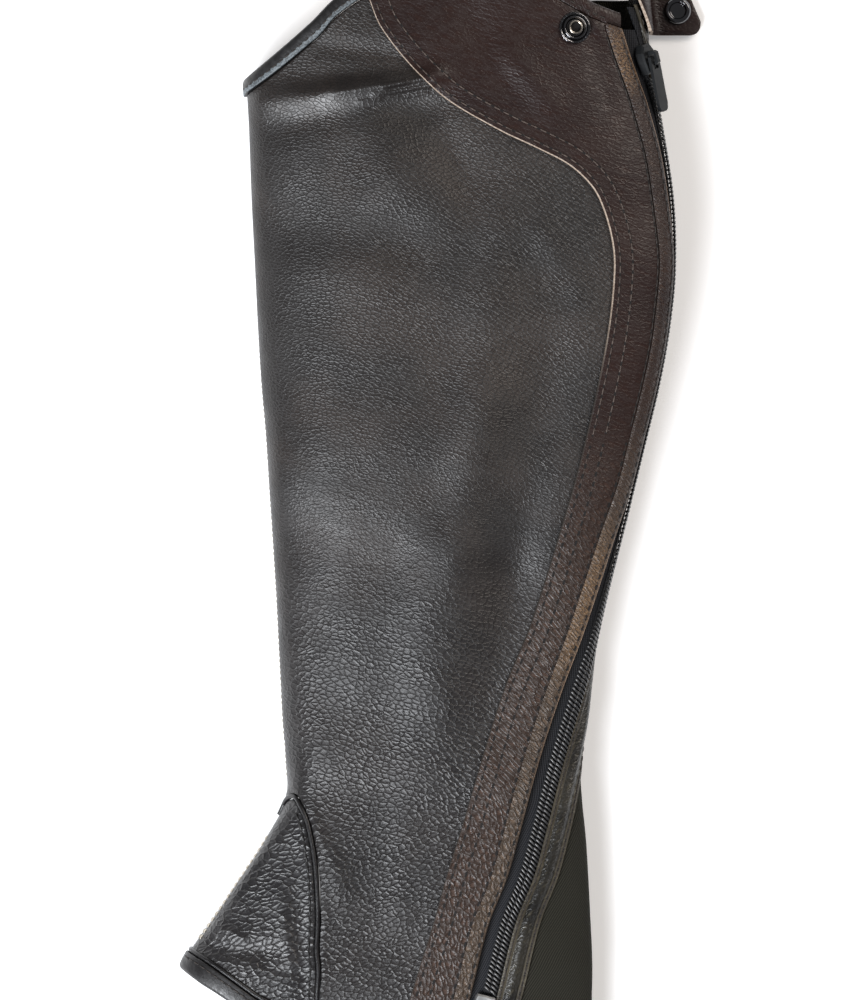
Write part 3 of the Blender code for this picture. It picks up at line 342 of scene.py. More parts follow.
def undulation(x, up):
    """Slow unevenness that worn leather has, the same on each run."""
    total = np.zeros_like(x)
    turns = np.random.default_rng(3)
    for length in SWELL_LENGTHS:
        for _ in range(2):
            way, phase = turns.uniform(0.0, math.pi), turns.uniform(0.0, 2 * math.pi)
            run = x * math.cos(way) + up * math.sin(way)
            total += np.sin(run * 2 * math.pi / length + phase) * length / 60.0
    return total * SWELL


def place(girth, up, level=0.0):
    """Points at a level over the folded leather, for arrays of places."""
    girth, up, level = np.broadcast_arrays(*(np.asarray(v, float) for v in (girth, up, level)))
    point = bare(girth, up)
    fade = np.clip(np.minimum(girth, upper_girth(up) - girth) / FADE, 0.0, 1.0)
    folds = fold_height(point[..., 0], up) + undulation(point[..., 0], up)
    folds *= fade * fade * (3 - 2 * fade)
    return point + directions(girth, up)[2] * (level + folds)[..., None]


def course(path):
    """The leather's directions at a path's places, and the path's own heading."""
    around, along, normal = directions(*path.T)
    run = np.gradient(path, axis=0)
    return around, along, normal, around * run[:, :1] + along * run[:, 1:]


def aside(path, distance=1.0):
    """Steps in girth and up, square to a path on the leather, times a distance to its right."""
    around, along, normal, heading = course(path)
    right = unit(np.cross(heading, normal))
    lean = (along * around).sum(1)
    square = along - around * lean[:, None]
    up_part = (right * square).sum(1) / (square * square).sum(1)
    return pairs((right * around).sum(1) - up_part * lean, up_part) * distance


def beside(path, distance):
    return path + aside(path, distance)


def downward(path):
    """Steps straight down the leg that stand one millimetre off a path that runs across it."""
    _, along, _, heading = course(path)
    return pairs(0.0, -np.linalg.norm(heading, axis=1) / np.linalg.norm(np.cross(along, heading), axis=1))


def below(path, distance):
    return path + downward(path) * distance


def mirrored(path):
    """The same places on the underside."""
    return path * (-1.0, 1.0)


def cut_at(line, girth):
    """The line with its first end moved along its first run to a girth."""
    line = line.copy()
    near, far = line[0], line[3]
    line[0] = (girth, near[1] + (far[1] - near[1]) * (girth - near[0]) / (far[0] - near[0]))
    keep = np.concatenate(([True], line[1:, 0] > girth))
    keep[6:] = True
    return spaced(line[keep], len(line) - 1)


def at_girth(line, girths):
    """Places of a line that runs across the leg, at given girths."""
    return pairs(girths, np.interp(girths, *line.T))


def along_line(line, start, end, count):
    return at_girth(line, np.linspace(start, end, count))


def walk(path, spacing, level, start):
    """Places at equal real distances along a path."""
    steps = lengths(place(*path.T, level))
    return sampled(path, steps, np.arange(start, steps[-1], spacing))


def coons(top, bottom, left, right, across, down):
    """Places between four edge lines, blended from all of them."""
    u, v = across[None, :, None], down[:, None, None]
    top, bottom, left, right = top[None], bottom[None], left[:, None], right[:, None]
    corners = ((1 - u) * (1 - v) * top[:, :1] + u * (1 - v) * top[:, -1:]
               + (1 - u) * v * bottom[:, :1] + u * v * bottom[:, -1:])
    return (1 - v) * top + v * bottom + (1 - u) * left + u * right - corners


# Lines that the pieces share

ZIP_LINE = spline(STRIPE_BACK_EDGE)
ZIP_ROWS = np.arange(-246.0, 212.0, 1.0)
ZIP_GIRTHS = np.array([girth_at(np.interp(-up, -ZIP_LINE[:, 1], ZIP_LINE[:, 0]), up) for up in ZIP_ROWS])
ROW_SHARES = stretches((0.0, CREASED_ROWS, 1.0), (ROWS_ABOVE // 2, ROWS_ABOVE // 2))


def zip_girth(up):
    """Girth of the stripe's edge beside the zip, which the zip's pieces are measured from."""
    return np.interp(up, ZIP_ROWS, ZIP_GIRTHS)


def on_leather(points, find=girth_at):
    return np.array([(find(x, up), up) for x, up in points])


def in_rows(line):
    """A line down the leg cut into the panels' rows, one of them level with the instep seam's tip."""
    crossing = [(np.interp(-TIP_UP, -line[:, 1], line[:, 0]), TIP_UP)]
    above = np.concatenate((line[line[:, 1] > TIP_UP], crossing))
    under = np.concatenate((crossing, line[line[:, 1] < TIP_UP]))
    return np.concatenate((cut_into(above, ROW_SHARES), spaced(under, ROWS_BELOW)[1:]))


top_line = on_leather(spline(TOP_EDGE))
top_in = below(top_line, BINDING + GAP)
inner_back = INNER_TOP_EDGE[-1][1]
full = whole_girth(inner_back)
corner = full - girth_at(TOP_EDGE[-1][0], 198.0) - STRIP_END
under_top = np.concatenate((on_leather(spline(INNER_TOP_EDGE), under_at),
                            [(full - upper_girth(inner_back), inner_back - 0.6), (corner, 204.0)]))
under_top_in = under_top - (0.0, (BINDING + GAP) * 1.06)
hem = on_leather(spline(HEM))
hem = np.concatenate((hem, [(hem[-1][0] + on, HEM_BACK) for on in (40.0, 220.0)]))
hem_in = below(hem, CORD_OFF)


def trimmed(line):
    """A line down the leg with its ends moved to the binding's and the hem's inner lines."""
    line[0] = at_girth(top_in, line[0][0])
    line[-1] = at_girth(hem_in, line[-1][0])
    return line


edge = in_rows(trimmed(on_leather(spline(SMOOTH_EDGE))))
back_ups = np.linspace(STRIPE_TOP, STRIPE_BACK_EDGE[-1][1], 400)
back = in_rows(trimmed(pairs(zip_girth(back_ups), back_ups)))

seam = on_leather(INSTEP_SEAM)
seam[0, 0] = 4 * GAP
seam[-1] = at_girth(below(hem, -CORD_OFF - GAP), seam[-1][0])
seam = spline(seam)
tip = SEAM_TIP * PER_SPAN
seam = np.concatenate((spaced(seam[:tip + 1], TIP_COLUMN), spaced(seam[tip:], ROWS_BELOW)[1:]))


# Meshes

def build(name, points, faces, materials, kinds=None, uvs=None, sharp=50.0, stands_for=None):
    """A piece from points in millimetres that rides on the chap and may stand for a node."""
    mesh = bpy.data.meshes.new(name)
    points = (np.asarray(points, float).reshape(-1, 3) - CENTRE) * MM
    points[:, 2] = np.maximum(points[:, 2], 0.0)
    mesh.from_pydata(points.tolist(), [], faces)
    for material in materials:
        mesh.materials.append(material)
    if kinds is not None:
        mesh.polygons.foreach_set("material_index", np.asarray(kinds, np.int32))
    if uvs is not None:
        layer = mesh.uv_layers.new(name="leather")
        corners = np.empty(len(mesh.loops), np.int32)
        mesh.loops.foreach_get("vertex_index", corners)
        layer.data.foreach_set("uv", (uvs.reshape(-1, 2) * MM)[corners].ravel())
    mesh.shade_smooth()
    mesh.set_sharp_from_angle(angle=math.radians(sharp))
    mesh.validate()
    item = bpy.data.objects.new(name, mesh)
    bpy.context.collection.objects.link(item)
    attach(item, "chap")
    if stands_for:
        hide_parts(stands_for)
    return item


AREAS = {}  # flat area in square metres of each shell


def wall(node_name, grid, outer, inner, materials, rounded=0.35, on=place, turned=False, cut_column=None):
    """Closed shell over a grid of places, NaN where it has none, that stands for a node."""
    there = ~np.isnan(grid[..., 0])
    cell = there[:-1, :-1] & there[1:, :-1] & there[:-1, 1:] & there[1:, 1:]
    count = int(there.sum())
    ids = np.full(there.shape, -1)
    ids[there] = np.arange(count)
    spots = grid[there]
    i, j = np.nonzero(cell)
    quads = np.stack((ids[i, j], ids[i, j + 1], ids[i + 1, j + 1], ids[i + 1, j]), axis=1)
    sides = np.concatenate([quads[:, [k, (k + 1) % 4]] for k in range(4)])
    key = sides.min(1) * count + sides.max(1)
    _, first, uses = np.unique(key, return_index=True, return_counts=True)
    border = sides[first[uses == 1]]
    on_border = np.zeros(count, bool)
    on_border[border.ravel()] = True
    face = on(*spots.T, np.broadcast_to(outer, there.shape)[there] - rounded * on_border)
    rim = np.stack((border[:, 1], border[:, 0], border[:, 0] + count, border[:, 1] + count), axis=1)
    faces = np.concatenate((quads, quads[:, ::-1] + count, rim))
    if turned:
        faces = faces[:, ::-1]
    outside = np.zeros(len(quads))
    if cut_column is not None:
        outside[j == cut_column % (grid.shape[1] - 1)] = len(materials) - 1
    kinds = np.concatenate((outside, np.full(len(quads), 1), np.full(len(rim), 2)))
    uvs = np.concatenate((spots, spots + (0.0, 1000.0)))
    a, b, c, d = (face[quads[:, k]] for k in range(4))
    AREAS[node_name] = float((np.linalg.norm(np.cross(c - a, d - b), axis=1) / 2).sum() * MM * MM)
    points = np.concatenate((face, on(*spots.T, inner)))
    return build(node_name + "_shell", points, faces.tolist(), materials, kinds, uvs, stands_for=node_name)


def skin(count, stations, corners):
    """Faces of closed tubes: their sides, then their first ends, then their last."""
    base = np.arange(count)[:, None, None] * stations * corners
    k = base + np.arange(stations - 1)[:, None] * corners
    c = np.arange(corners)
    after = (c + 1) % corners
    sides = np.stack((k + c, k + after, k + corners + after, k + corners + c), axis=-1).reshape(-1, 4)
    ends = (base[:, 0] + c[::-1], base[:, 0] + (stations - 1) * corners + c)
    return sides.tolist() + ends[0].tolist() + ends[1].tolist()


def sweep(name, path, steps, profile, materials, kinds=None, stands_for=None):
    """Closed strip swept along a path on the leather; its profile has (aside, level) corners."""
    profile = np.asarray(profile, float)
    spots = path[:, None] + steps[:, None] * profile[:, :1]
    points = place(spots[..., 0], spots[..., 1], profile[:, 1])
    points[..., 2] += np.maximum(0.0, -points[..., 2].min(1))[:, None]
    stations, corners = spots.shape[:2]
    if kinds is not None:
        kinds = list(np.broadcast_to(kinds, (stations - 1, corners)).ravel()) + [0, 0]
    uvs = pairs(lengths(profile), lengths(points[:, 0])[:, None])
    return build(name, points, skin(1, stations, corners), materials, kinds, uvs, 60.0,
                 stands_for or name.rsplit("_", 1)[0])


def circle(sides):
    turn = np.linspace(0.0, 2 * math.pi, sides, endpoint=False)
    return np.cos(turn)[:, None], np.sin(turn)[:, None]


def tubes(name, lines, outward, radii, material, sides=6):
    """Many short closed tubes in one mesh: their centre lines, an outward direction and radii."""
    count, stations, _ = lines.shape
    heading = unit(np.gradient(lines, axis=1))
    across = unit(np.cross(heading, outward))
    out = np.cross(across, heading)
    cosine, sine = circle(sides)
    radii = np.broadcast_to(radii, (count, stations))[:, :, None, None]
    points = lines[:, :, None] + radii * (across[:, :, None] * cosine + out[:, :, None] * sine)
    return build(name, points, skin(count, stations, sides), [material])


THREAD_STEP = 0.2
THREAD_DIP = np.array((-0.9, 0.25, 0.55, 0.55, 0.25, -0.9))
THREAD_SIZE = np.array((0.7, 1.0, 1.0, 1.0, 1.0, 0.7))
HOLE_SIDES = 8


def stitches(name, path, pitch, length, radius, level, thread, hole=0.42, sunk=0.0):
    """A row of thread stitches that dip into their holes, and dark discs painted as shade in the holes."""
    fine = walk(path, THREAD_STEP, level, 1.0)
    numbers = np.arange(len(fine))
    index = np.arange(len(walk(path, pitch, level, 1.0)) - 1) * pitch / THREAD_STEP
    index = index[index + length / THREAD_STEP < len(fine) - 1]
    jitter = rng.uniform(-0.12, 0.12, (2, len(index))) * 2
    first, last = index + jitter[0], index + length / THREAD_STEP + jitter[1]
    where = np.clip(first[:, None] + (last - first)[:, None] * np.linspace(0.0, 1.0, 6), 0, len(fine) - 1)
    girth, up = (np.interp(where, numbers, column) for column in fine.T)
    lines = place(girth, up, level - sunk + THREAD_DIP * radius)
    normal = directions(girth, up)[2]
    tubes(name, lines, normal, radius * THREAD_SIZE, thread)
    if hole:
        # painted shade: a thin dark disc at each hole stands for the shade inside it
        out = normal[:, (0, -1)].reshape(-1, 1, 3)
        spots = place(girth[:, (0, -1)], up[:, (0, -1)], level + 0.04).reshape(-1, 1, 3)
        heading = unit(lines[:, -1] - lines[:, 0]).repeat(2, axis=0)[:, None]
        cosine, sine = circle(HOLE_SIDES)
        rim = spots + hole * (1.25 * heading * cosine + unit(np.cross(heading, out)) * sine)
        points = np.stack((rim - out * 0.1, rim), axis=1)
        build(name + "_hole_shade_discs", points, skin(len(rim), 2, HOLE_SIDES), [shade_paint])


# Materials

SHADER = "Principled BSDF"
SHINE = "Specular IOR Level"
WAVE_UNIT = 20.0 / (2 * math.pi)  # bands of a wave texture to each unit of its scale


class Signal:
    """Output of a material's node; arithmetic with it adds maths nodes."""

    def __init__(self, tree, socket):
        self.tree = tree
        self.socket = socket

    def maths(self, operation, a, b, clamp=False):
        return node(self.tree, "Math", {"operation": operation, "use_clamp": clamp}, {0: a, 1: b})

    def __add__(self, other):
        return self.maths("ADD", self, other)

    def __sub__(self, other):
        return self.maths("SUBTRACT", self, other)

    def __rsub__(self, other):
        return self.maths("SUBTRACT", other, self)

    def __mul__(self, other):
        return self.maths("MULTIPLY", self, other)

    __radd__ = __add__
    __rmul__ = __mul__

    def ramp(self, low, high):
        """Smoothly from zero at the first value to one at the second."""
        return node(self.tree, "MapRange", {"interpolation_type": "SMOOTHSTEP"}, {0: self, 1: low, 2: high})

    def mix(self, a, b):
        """From one colour where this is zero to the other where it is one."""
        return node(self.tree, "Mix", {"data_type": "RGBA"}, {0: self, 6: a, 7: b}, 2)

    def blend(self, a, b):
        """From one number where this is zero to the other where it is one."""
        return a + self * (b - a)


def node(tree, kind, settings=None, inputs=None, out=0):
    """Output of a new node; each of its inputs is a value or another node's output."""
    made = tree.nodes.new("ShaderNode" + kind)
    for name, setting in (settings or {}).items():
        setattr(made, name, setting)
    for key, value in (inputs or {}).items():
        socket = made.inputs[key]
        if isinstance(value, Signal):
            tree.links.new(value.socket, socket)
        else:
            socket.default_value = (*value, 1.0) if socket.type == "RGBA" else value
    return Signal(tree, made.outputs[out])


def blank(name, colour, rough, sockets=None):
    """A material with plain values on its shader, and its node tree."""
    material = bpy.data.materials.new(name)
    material.use_nodes = True
    shader = material.node_tree.nodes[SHADER]
    for socket, value in {"Base Color": (*colour, 1.0), "Roughness": rough, **(sockets or {})}.items():
        shader.inputs[socket].default_value = value
    return material, material.node_tree


def finished(material, height, depth, tone, rough=None):
    """The material with its bump, colour and roughness joined to the shader."""
    tree = material.node_tree
    bump = node(tree, "Bump", {}, {"Height": height, "Distance": depth, "Strength": 1.0})
    for key, signal in (("Normal", bump), ("Base Color", tone), ("Roughness", rough)):
        if signal is not None:
            tree.links.new(signal.socket, tree.nodes[SHADER].inputs[key])
    return material


def vector(operation, a, b, key=1, out=0):
    return node(a.tree, "VectorMath", {"operation": operation}, {0: a, key: b}, out)


def on_part(tree):
    """Places on the part in metres."""
    return node(tree, "TexCoord", out="Object")


def mapped(places, turn, size, centre=(0.0, 0.0)):
    """Places measured from a centre along turned axes, in units of a size."""
    inputs = {0: places, "Location": (*centre, 0.0), "Scale": (*size, 1.0)}
    inputs["Rotation"] = (0.0, 0.0, math.radians(turn))
    return node(places.tree, "Mapping", {"vector_type": "TEXTURE"}, inputs)


def flat_places(tree, turn=0.0, stretch=(1.0, 1.0)):
    """Places on the flat leather in metres; what is drawn on them is stretched along a turned axis."""
    return mapped(node(tree, "UVMap", {"uv_map": "leather"}), turn, stretch)


def reach(tree, axis, start, end):
    """Zero to one along one axis of the part, between two places in metres."""
    return node(tree, "SeparateXYZ", {}, {0: on_part(tree)}, axis).ramp(start, end)


def noise(places, scale, detail=3.0, rough=0.5, kind="2D", out=0):
    inputs = {"Vector": places, "Scale": scale, "Detail": detail, "Roughness": rough}
    return node(places.tree, "TexNoise", {"noise_dimensions": kind}, inputs, out)


def solid_noise(tree, scale, detail):
    return noise(on_part(tree), scale, detail, kind="3D")


def pebbles(places, cell, steep=0.36, warp=0.6):
    """Rounded cells: zero in the valleys between them, one on their tops."""
    scale = 1000.0 / cell
    moved = vector("SUBTRACT", noise(places, scale * 0.6, 2.0, out=1), (0.5, 0.5, 0.5))
    warped = vector("ADD", places, vector("SCALE", moved, warp / scale, "Scale"))
    inputs = {"Vector": warped, "Scale": scale}
    gap, centre = (node(places.tree, "TexVoronoi", {"voronoi_dimensions": "2D", "feature": feature},
                        inputs, "Distance") for feature in ("DISTANCE_TO_EDGE", "F1"))
    short = 1.0 - gap.maths("DIVIDE", gap, steep, True)
    return 1.0 - short * short - centre * centre * 0.38


def grained(name, colour, light, cell=1.55, foot_cell=2.1, depth=0.00018, rough=(0.43, 0.54), polished=()):
    """Pebbled leather: cells in two sizes, coarser towards the foot, with uneven polish; shade is painted
    darker in the valleys between the cells, and a bluish sheen is painted in by a cooler colour towards the
    foot.
    """
    material, tree = blank(name, colour, 0.5)
    places = flat_places(tree, -12.0, (1.22, 0.86))
    near_foot = reach(tree, "Y", 0.09, -0.09)
    large = near_foot.blend(pebbles(places, cell), pebbles(places, foot_cell))
    height = large * 0.75 + pebbles(places, cell * 0.5, 0.4) * 0.12
    height = height + noise(places, 2600.0, 3.0, 0.6) * 0.10 + noise(places, 260.0, 2.0)
    smoothed = 0.0
    for centre, turn, half in polished:
        away = vector("DISTANCE", mapped(on_part(tree), turn, half, centre), (0.0, 0.0, 0.0), out="Value")
        smoothed = away.maths("MAXIMUM", smoothed, away.ramp(1.0, 0.35))
    kept = (1.0 - smoothed * 0.45) * near_foot.blend(0.72, 1.1)
    tone = noise(flat_places(tree), 24.0, 4.0, 0.55).ramp(0.34, 0.68).mix(colour, light)
    # painted sheen: towards the foot the colour turns bluish, standing in for the window's bluish sheen on
    # the pebbles
    bluish_sheen_tint = tuple(c * share for c, share in zip(colour, (0.9, 1.1, 1.35)))
    tone = (near_foot * 0.6).mix(tone, bluish_sheen_tint)
    # painted shade: the valleys between the pebbles are darkened in colour
    tone = large.ramp(-0.1, 0.6).mix(tuple(0.62 * c for c in colour), tone)
    spread = noise(places, 90.0).ramp(0.3, 0.75) * (rough[1] - rough[0])
    spread = spread - smoothed * 0.09 - near_foot * 0.05
    return finished(material, height * kept, depth, tone, spread + rough[0])


def creased(name, colour, light, rough=(0.34, 0.52), turn=-45.0, crack=0.5, depth=0.00018, pitch=1.6,
            low=None, coarse=0.0, shine=0.5, golden_spots=(), pebble=1.15):
    """Smooth leather with fine slanting wrinkles, worn lighter on their ridges, coarser towards the foot,
    where the pebble tops are painted lighter as highlights; golden flecks may gather round given spots.
    """
    material, tree = blank(name, colour, 0.45, {SHINE: shine})
    wrinkle = noise(flat_places(tree, turn, (3.0, 1.0)), 1000.0 / pitch, 4.0, 0.55)
    tiny = pebbles(flat_places(tree, turn, (1.3, 0.85)), pebble, 0.4, 0.5)
    height = wrinkle * 1.4 + tiny * (0.28 * pebble)
    broad = noise(flat_places(tree, 20.0, (1.6, 1.0)), 34.0).ramp(0.35, 0.7)
    tone = (broad * 0.35).mix((wrinkle.ramp(0.54, 0.72) * crack).mix(colour, light), light)
    if low:
        near_foot = reach(tree, "Y", 0.065, -0.03)
        slanted = pebbles(flat_places(tree, -48.0, (2.1, 0.8)), 1.9, 0.45, 0.7)
        height = height + slanted * coarse * near_foot
        # painted highlight: towards the foot the tops of the slanted pebbles are painted lighter
        tops = (slanted * wrinkle.ramp(0.3, 0.6)).ramp(0.35, 0.9)
        tone = near_foot.mix(tone, (tops * 0.75).mix(low, tuple(2.4 * c for c in low)))
    # golden flecks gather round each of these spots
    for spot, size in golden_spots:
        away = vector("DISTANCE", on_part(tree), spot, out="Value")
        flecks = noise(flat_places(tree, turn, (1.6, 1.0)), 1500.0, 5.0, 0.7).ramp(0.36, 0.72)
        tone = (away.ramp(size, size * 0.2) * flecks * 0.9).mix(tone, (0.200, 0.118, 0.058))
    return finished(material, height, depth, tone, rough[1] - wrinkle.ramp(0.3, 0.7) * (rough[1] - rough[0]))


def woven(name, colour, light, ribs=1.05, picks=0.55, depth=0.00018):
    """Woven or knitted band: ribs along it and picks across them, with shade painted darker in the hollows of
    the weave.
    """
    material, tree = blank(name, colour, 0.85, {SHINE: 0.15})
    places = flat_places(tree)
    height = noise(places, 2200.0, 4.0, 0.65) * 0.35
    for way, pitch, share in (("X", ribs, 0.7), ("Y", picks, 0.3)):
        inputs = {"Vector": places, "Scale": 1000.0 / pitch / WAVE_UNIT, "Distortion": 0.6, "Detail": 1.0,
                  "Detail Scale": 0.6}
        wave = node(tree, "TexWave", {"wave_type": "BANDS", "bands_direction": way}, inputs, "Fac")
        height = height + wave * share
    # painted shade: the colour follows the weave's height, darker in its hollows and lighter on its ribs
    return finished(material, height, depth, height.ramp(0.35, 1.0).mix(colour, light))


def suede(name, colour, light):
    material, tree = blank(name, colour, 0.92, {"Sheen Weight": 0.1})
    nap = noise(flat_places(tree), 1500.0, 5.0, 0.7)
    return finished(material, nap, 0.0002, nap.mix(colour, light))


def fibres(name, colour, light, rough=0.75, fades=None, left=0.25):
    """Raw cut edge or thread: fine streaks of two tones, which may turn darker along an axis."""
    material, tree = blank(name, colour, rough)
    streak = solid_noise(tree, 1400.0, 3.0)
    tone = streak.ramp(0.35, 0.65).mix(colour, light)
    if fades:
        tone = reach(tree, *fades).mix(tone, tuple(left * c for c in colour))
    return finished(material, streak, 0.00008, tone)


def metal(name, colour, rough, metallic=1.0, marks=0.00001, uneven=0.12, shine=0.5):
    """Cast and polished metal, or moulded nylon, with faint scratches and uneven polish."""
    material, tree = blank(name, colour, rough, {"Metallic": metallic, SHINE: shine})
    spread = solid_noise(tree, 220.0, 2.0).ramp(0.35, 0.7) * uneven
    return finished(material, solid_noise(tree, 900.0, 4.0), marks, None, spread + rough)


def paper(name):
    glow = {"Emission Color": (1.0, 0.985, 0.97, 1.0), "Emission Strength": 0.27}
    material, tree = blank(name, (0.93, 0.93, 0.93), 0.8, glow)
    tone = solid_noise(tree, 3.0, 2.0).mix((0.91, 0.91, 0.92), (0.95, 0.95, 0.95))
    tree.links.new(tone.socket, tree.nodes[SHADER].inputs["Base Color"])
    return material


grain = grained("grained_leather", (0.0105, 0.0084, 0.0078), (0.024, 0.0178, 0.0150),
                polished=(((-0.036, 0.174), 9.0, (0.045, 0.011)), ((-0.060, -0.100), 60.0, (0.020, 0.010))))
grain_instep = grained("instep_leather", (0.0125, 0.0105, 0.01), (0.022, 0.018, 0.016), 2.3, 2.5, 0.0002,
                       (0.38, 0.48))
smooth_brown = creased("smooth_brown_leather", (0.0130, 0.0052, 0.0044), (0.028, 0.0135, 0.0105), turn=-14.0,
                       depth=0.00013, pitch=1.9, low=(0.026, 0.0155, 0.0115), coarse=1.7, shine=0.35,
                       pebble=1.6)
worn = creased("worn_facing_leather", (0.015, 0.0070, 0.0055), (0.040, 0.022, 0.015), turn=-40.0, crack=0.8,
               depth=0.00025, pitch=1.1, low=(0.046, 0.0310, 0.0210), coarse=1.3, shine=0.4,
               golden_spots=(((0.0735, 0.1900, 0.033), 0.020), ((0.0600, -0.0300, 0.033), 0.045)))
rolled = creased("rolled_strip_leather", (0.0045, 0.0040, 0.0035), (0.050, 0.044, 0.032), (0.24, 0.42), -60.0,
                 0.8, pitch=1.3)
lip_leather = creased("strip_lip_leather", (0.03, 0.0245, 0.016), (0.09, 0.078, 0.054), turn=-60.0, crack=0.7)
band_leather = creased("binding_leather", (0.009, 0.0085, 0.009), (0.016, 0.015, 0.015), crack=0.3,
                       depth=0.00006)
pipe = creased("piping_leather", (0.006, 0.0055, 0.006), (0.012, 0.011, 0.012), (0.28, 0.42), crack=0.3,
               depth=0.00006)
flesh = suede("flesh_side", (0.016, 0.012, 0.010), (0.036, 0.027, 0.022))
tan_edge = fibres("cut_edge_tan", (0.26, 0.19, 0.14), (0.48, 0.39, 0.31), 0.75, ("Y", 0.105, 0.055), 0.085)
facing_edge = fibres("facing_edge_tan", (0.2, 0.125, 0.08), (0.36, 0.25, 0.17), 0.75, ("Y", -0.05, -0.13),
                     0.2)
pale_edge = fibres("binding_line_pale", (0.045, 0.052, 0.058), (0.16, 0.185, 0.20), 0.5, ("X", -0.045, 0.01))
dark_edge = fibres("cut_edge_dark", (0.022, 0.018, 0.015), (0.05, 0.04, 0.033))
tape_cloth = woven("zip_tape_cloth", (0.009, 0.0095, 0.0110), (0.028, 0.029, 0.033), 0.9, 0.9, 0.00014)
ribbed = woven("ribbed_elastic", (0.009, 0.0086, 0.0066), (0.027, 0.0255, 0.0190))
nylon = metal("black_nylon_coil", (0.010, 0.010, 0.011), 0.33, 0.0, 0.000004, 0.06, 1.0)
core_cloth = fibres("coil_core", (0.004, 0.004, 0.005), (0.009, 0.009, 0.010), 0.9)
thread_dark = fibres("dark_thread", (0.012, 0.009, 0.008), (0.035, 0.027, 0.023), 0.6)
thread_black = fibres("black_thread", (0.004, 0.004, 0.004), (0.012, 0.011, 0.011), 0.55)
thread_brown = fibres("brown_thread", (0.045, 0.031, 0.026), (0.11, 0.085, 0.072), 0.6, ("Y", 0.06, -0.03),
                      0.4)
thread_pale = fibres("pale_thread", (0.35, 0.31, 0.25), (0.60, 0.55, 0.47), 0.65)
# painted shade: near-black discs at the stitch holes and in the snap's bore
shade_paint = fibres("painted_hole_shade", (0.003, 0.002, 0.002), (0.006, 0.005, 0.005), 0.9)
gunmetal = metal("gunmetal_snap", (0.12, 0.12, 0.125), 0.07, 1.0, 0.000004, 0.05)
snap_ring = metal("snap_inner_ring", (0.36, 0.33, 0.29), 0.22, 1.0, 0.000004, 0.08)
black_metal = metal("black_zip_metal", (0.010, 0.011, 0.012), 0.34, 0.0, 0.000008, 0.14, 0.22)
silver = metal("silver_zip_box", (0.62, 0.62, 0.61), 0.33)


# Panels

columns = stretches((0.0, TIP_SHARE, 0.42, 0.95, 1.0), (TIP_COLUMN, 16, 66, 5))
lower_shares = np.linspace(0.0, 1.0, ROWS_BELOW + 1)


def shaft_grid(right, top_edge):
    """Places from the front seam or the instep seam to a panel's far edge, in two blocks."""
    outside = beside(seam, -CORD_OFF)
    outside[:TIP_COLUMN + 1] = cut_at(outside[:TIP_COLUMN + 1], FRONT)
    top = at_girth(top_edge, FRONT + columns * (right[0][0] - FRONT))
    top[-1] = right[0]
    shares = (columns[TIP_COLUMN:] - columns[TIP_COLUMN]) / (1 - columns[TIP_COLUMN])
    across = outside[TIP_COLUMN] + (right[ROWS_ABOVE] - outside[TIP_COLUMN]) * shares[1:, None]
    middle = np.concatenate((outside[:TIP_COLUMN + 1], across))
    left = pairs(FRONT, top[0][1] + (middle[0][1] - top[0][1]) * ROW_SHARES)
    upper = coons(top, middle, left, right[:ROWS_ABOVE + 1], columns, ROW_SHARES)
    left = outside[TIP_COLUMN:]
    bottom = at_girth(hem_in, left[-1][0] + shares * (right[-1][0] - left[-1][0]))
    left[-1] = bottom[0]
    lower = coons(middle[TIP_COLUMN:], bottom, left, right[ROWS_ABOVE:], shares, lower_shares)[1:]
    nothing = np.full((ROWS_BELOW, TIP_COLUMN, 2), np.nan)
    return np.concatenate((upper, np.concatenate((nothing, lower), axis=1)))


def halved(grid):
    """Every other row and column of a grid, and its last ones."""
    i, j = (sorted({*range(0, count, 2), count - 1}) for count in grid.shape[:2])
    return grid[np.ix_(i, j)]


def edge_roll(grid, path, width, lift):
    """Levels of a shell's face, raised along a path as leather is beside a row of stitches."""
    points = bare(*np.moveaxis(np.nan_to_num(grid), -1, 0))
    near = np.full(points.shape[:2], 1e9)
    for spot in bare(*path[::3].T):
        near = np.minimum(near, np.linalg.norm(points - spot, axis=-1))
    return lift * np.exp(-(near / width) ** 2)


lap = beside(edge, -LAP)
lap[[0, -1], 0] = edge[[0, -1], 0] + LAP
lap = trimmed(lap)
outer_grid = np.concatenate((shaft_grid(edge, top_in), ((edge + lap) / 2)[:, None], lap[:, None]), axis=1)
outer_level = edge_roll(outer_grid, beside(seam, -2.4), 1.6, 0.3)
outer_level[:, -2:] = np.minimum(outer_level[:, -2:], 0.0)
outer_level[:, -3] = np.minimum(outer_level[:, -3], 0.1)
wall("shaft_outer", outer_grid, outer_level, -LEATHER, [grain, flesh, dark_edge])


def inner_edge(up):
    """How far the inner panel reaches round the underside, to the elastic."""
    return whole_girth(up) - upper_girth(up) - ELASTIC_UNDER - GAP


far = pairs(inner_edge(back[:, 1]), back[:, 1])
for _ in range(3):
    up = np.interp(far[0, 0], *under_top_in.T)
    far[0] = (inner_edge(up), up)
far[-1] = at_girth(hem_in, far[-1][0])
inner_grid = halved(mirrored(shaft_grid(far, under_top_in)))
wall("shaft_inner", inner_grid, 0.0, -LEATHER, [grain, flesh, dark_edge], turned=True)

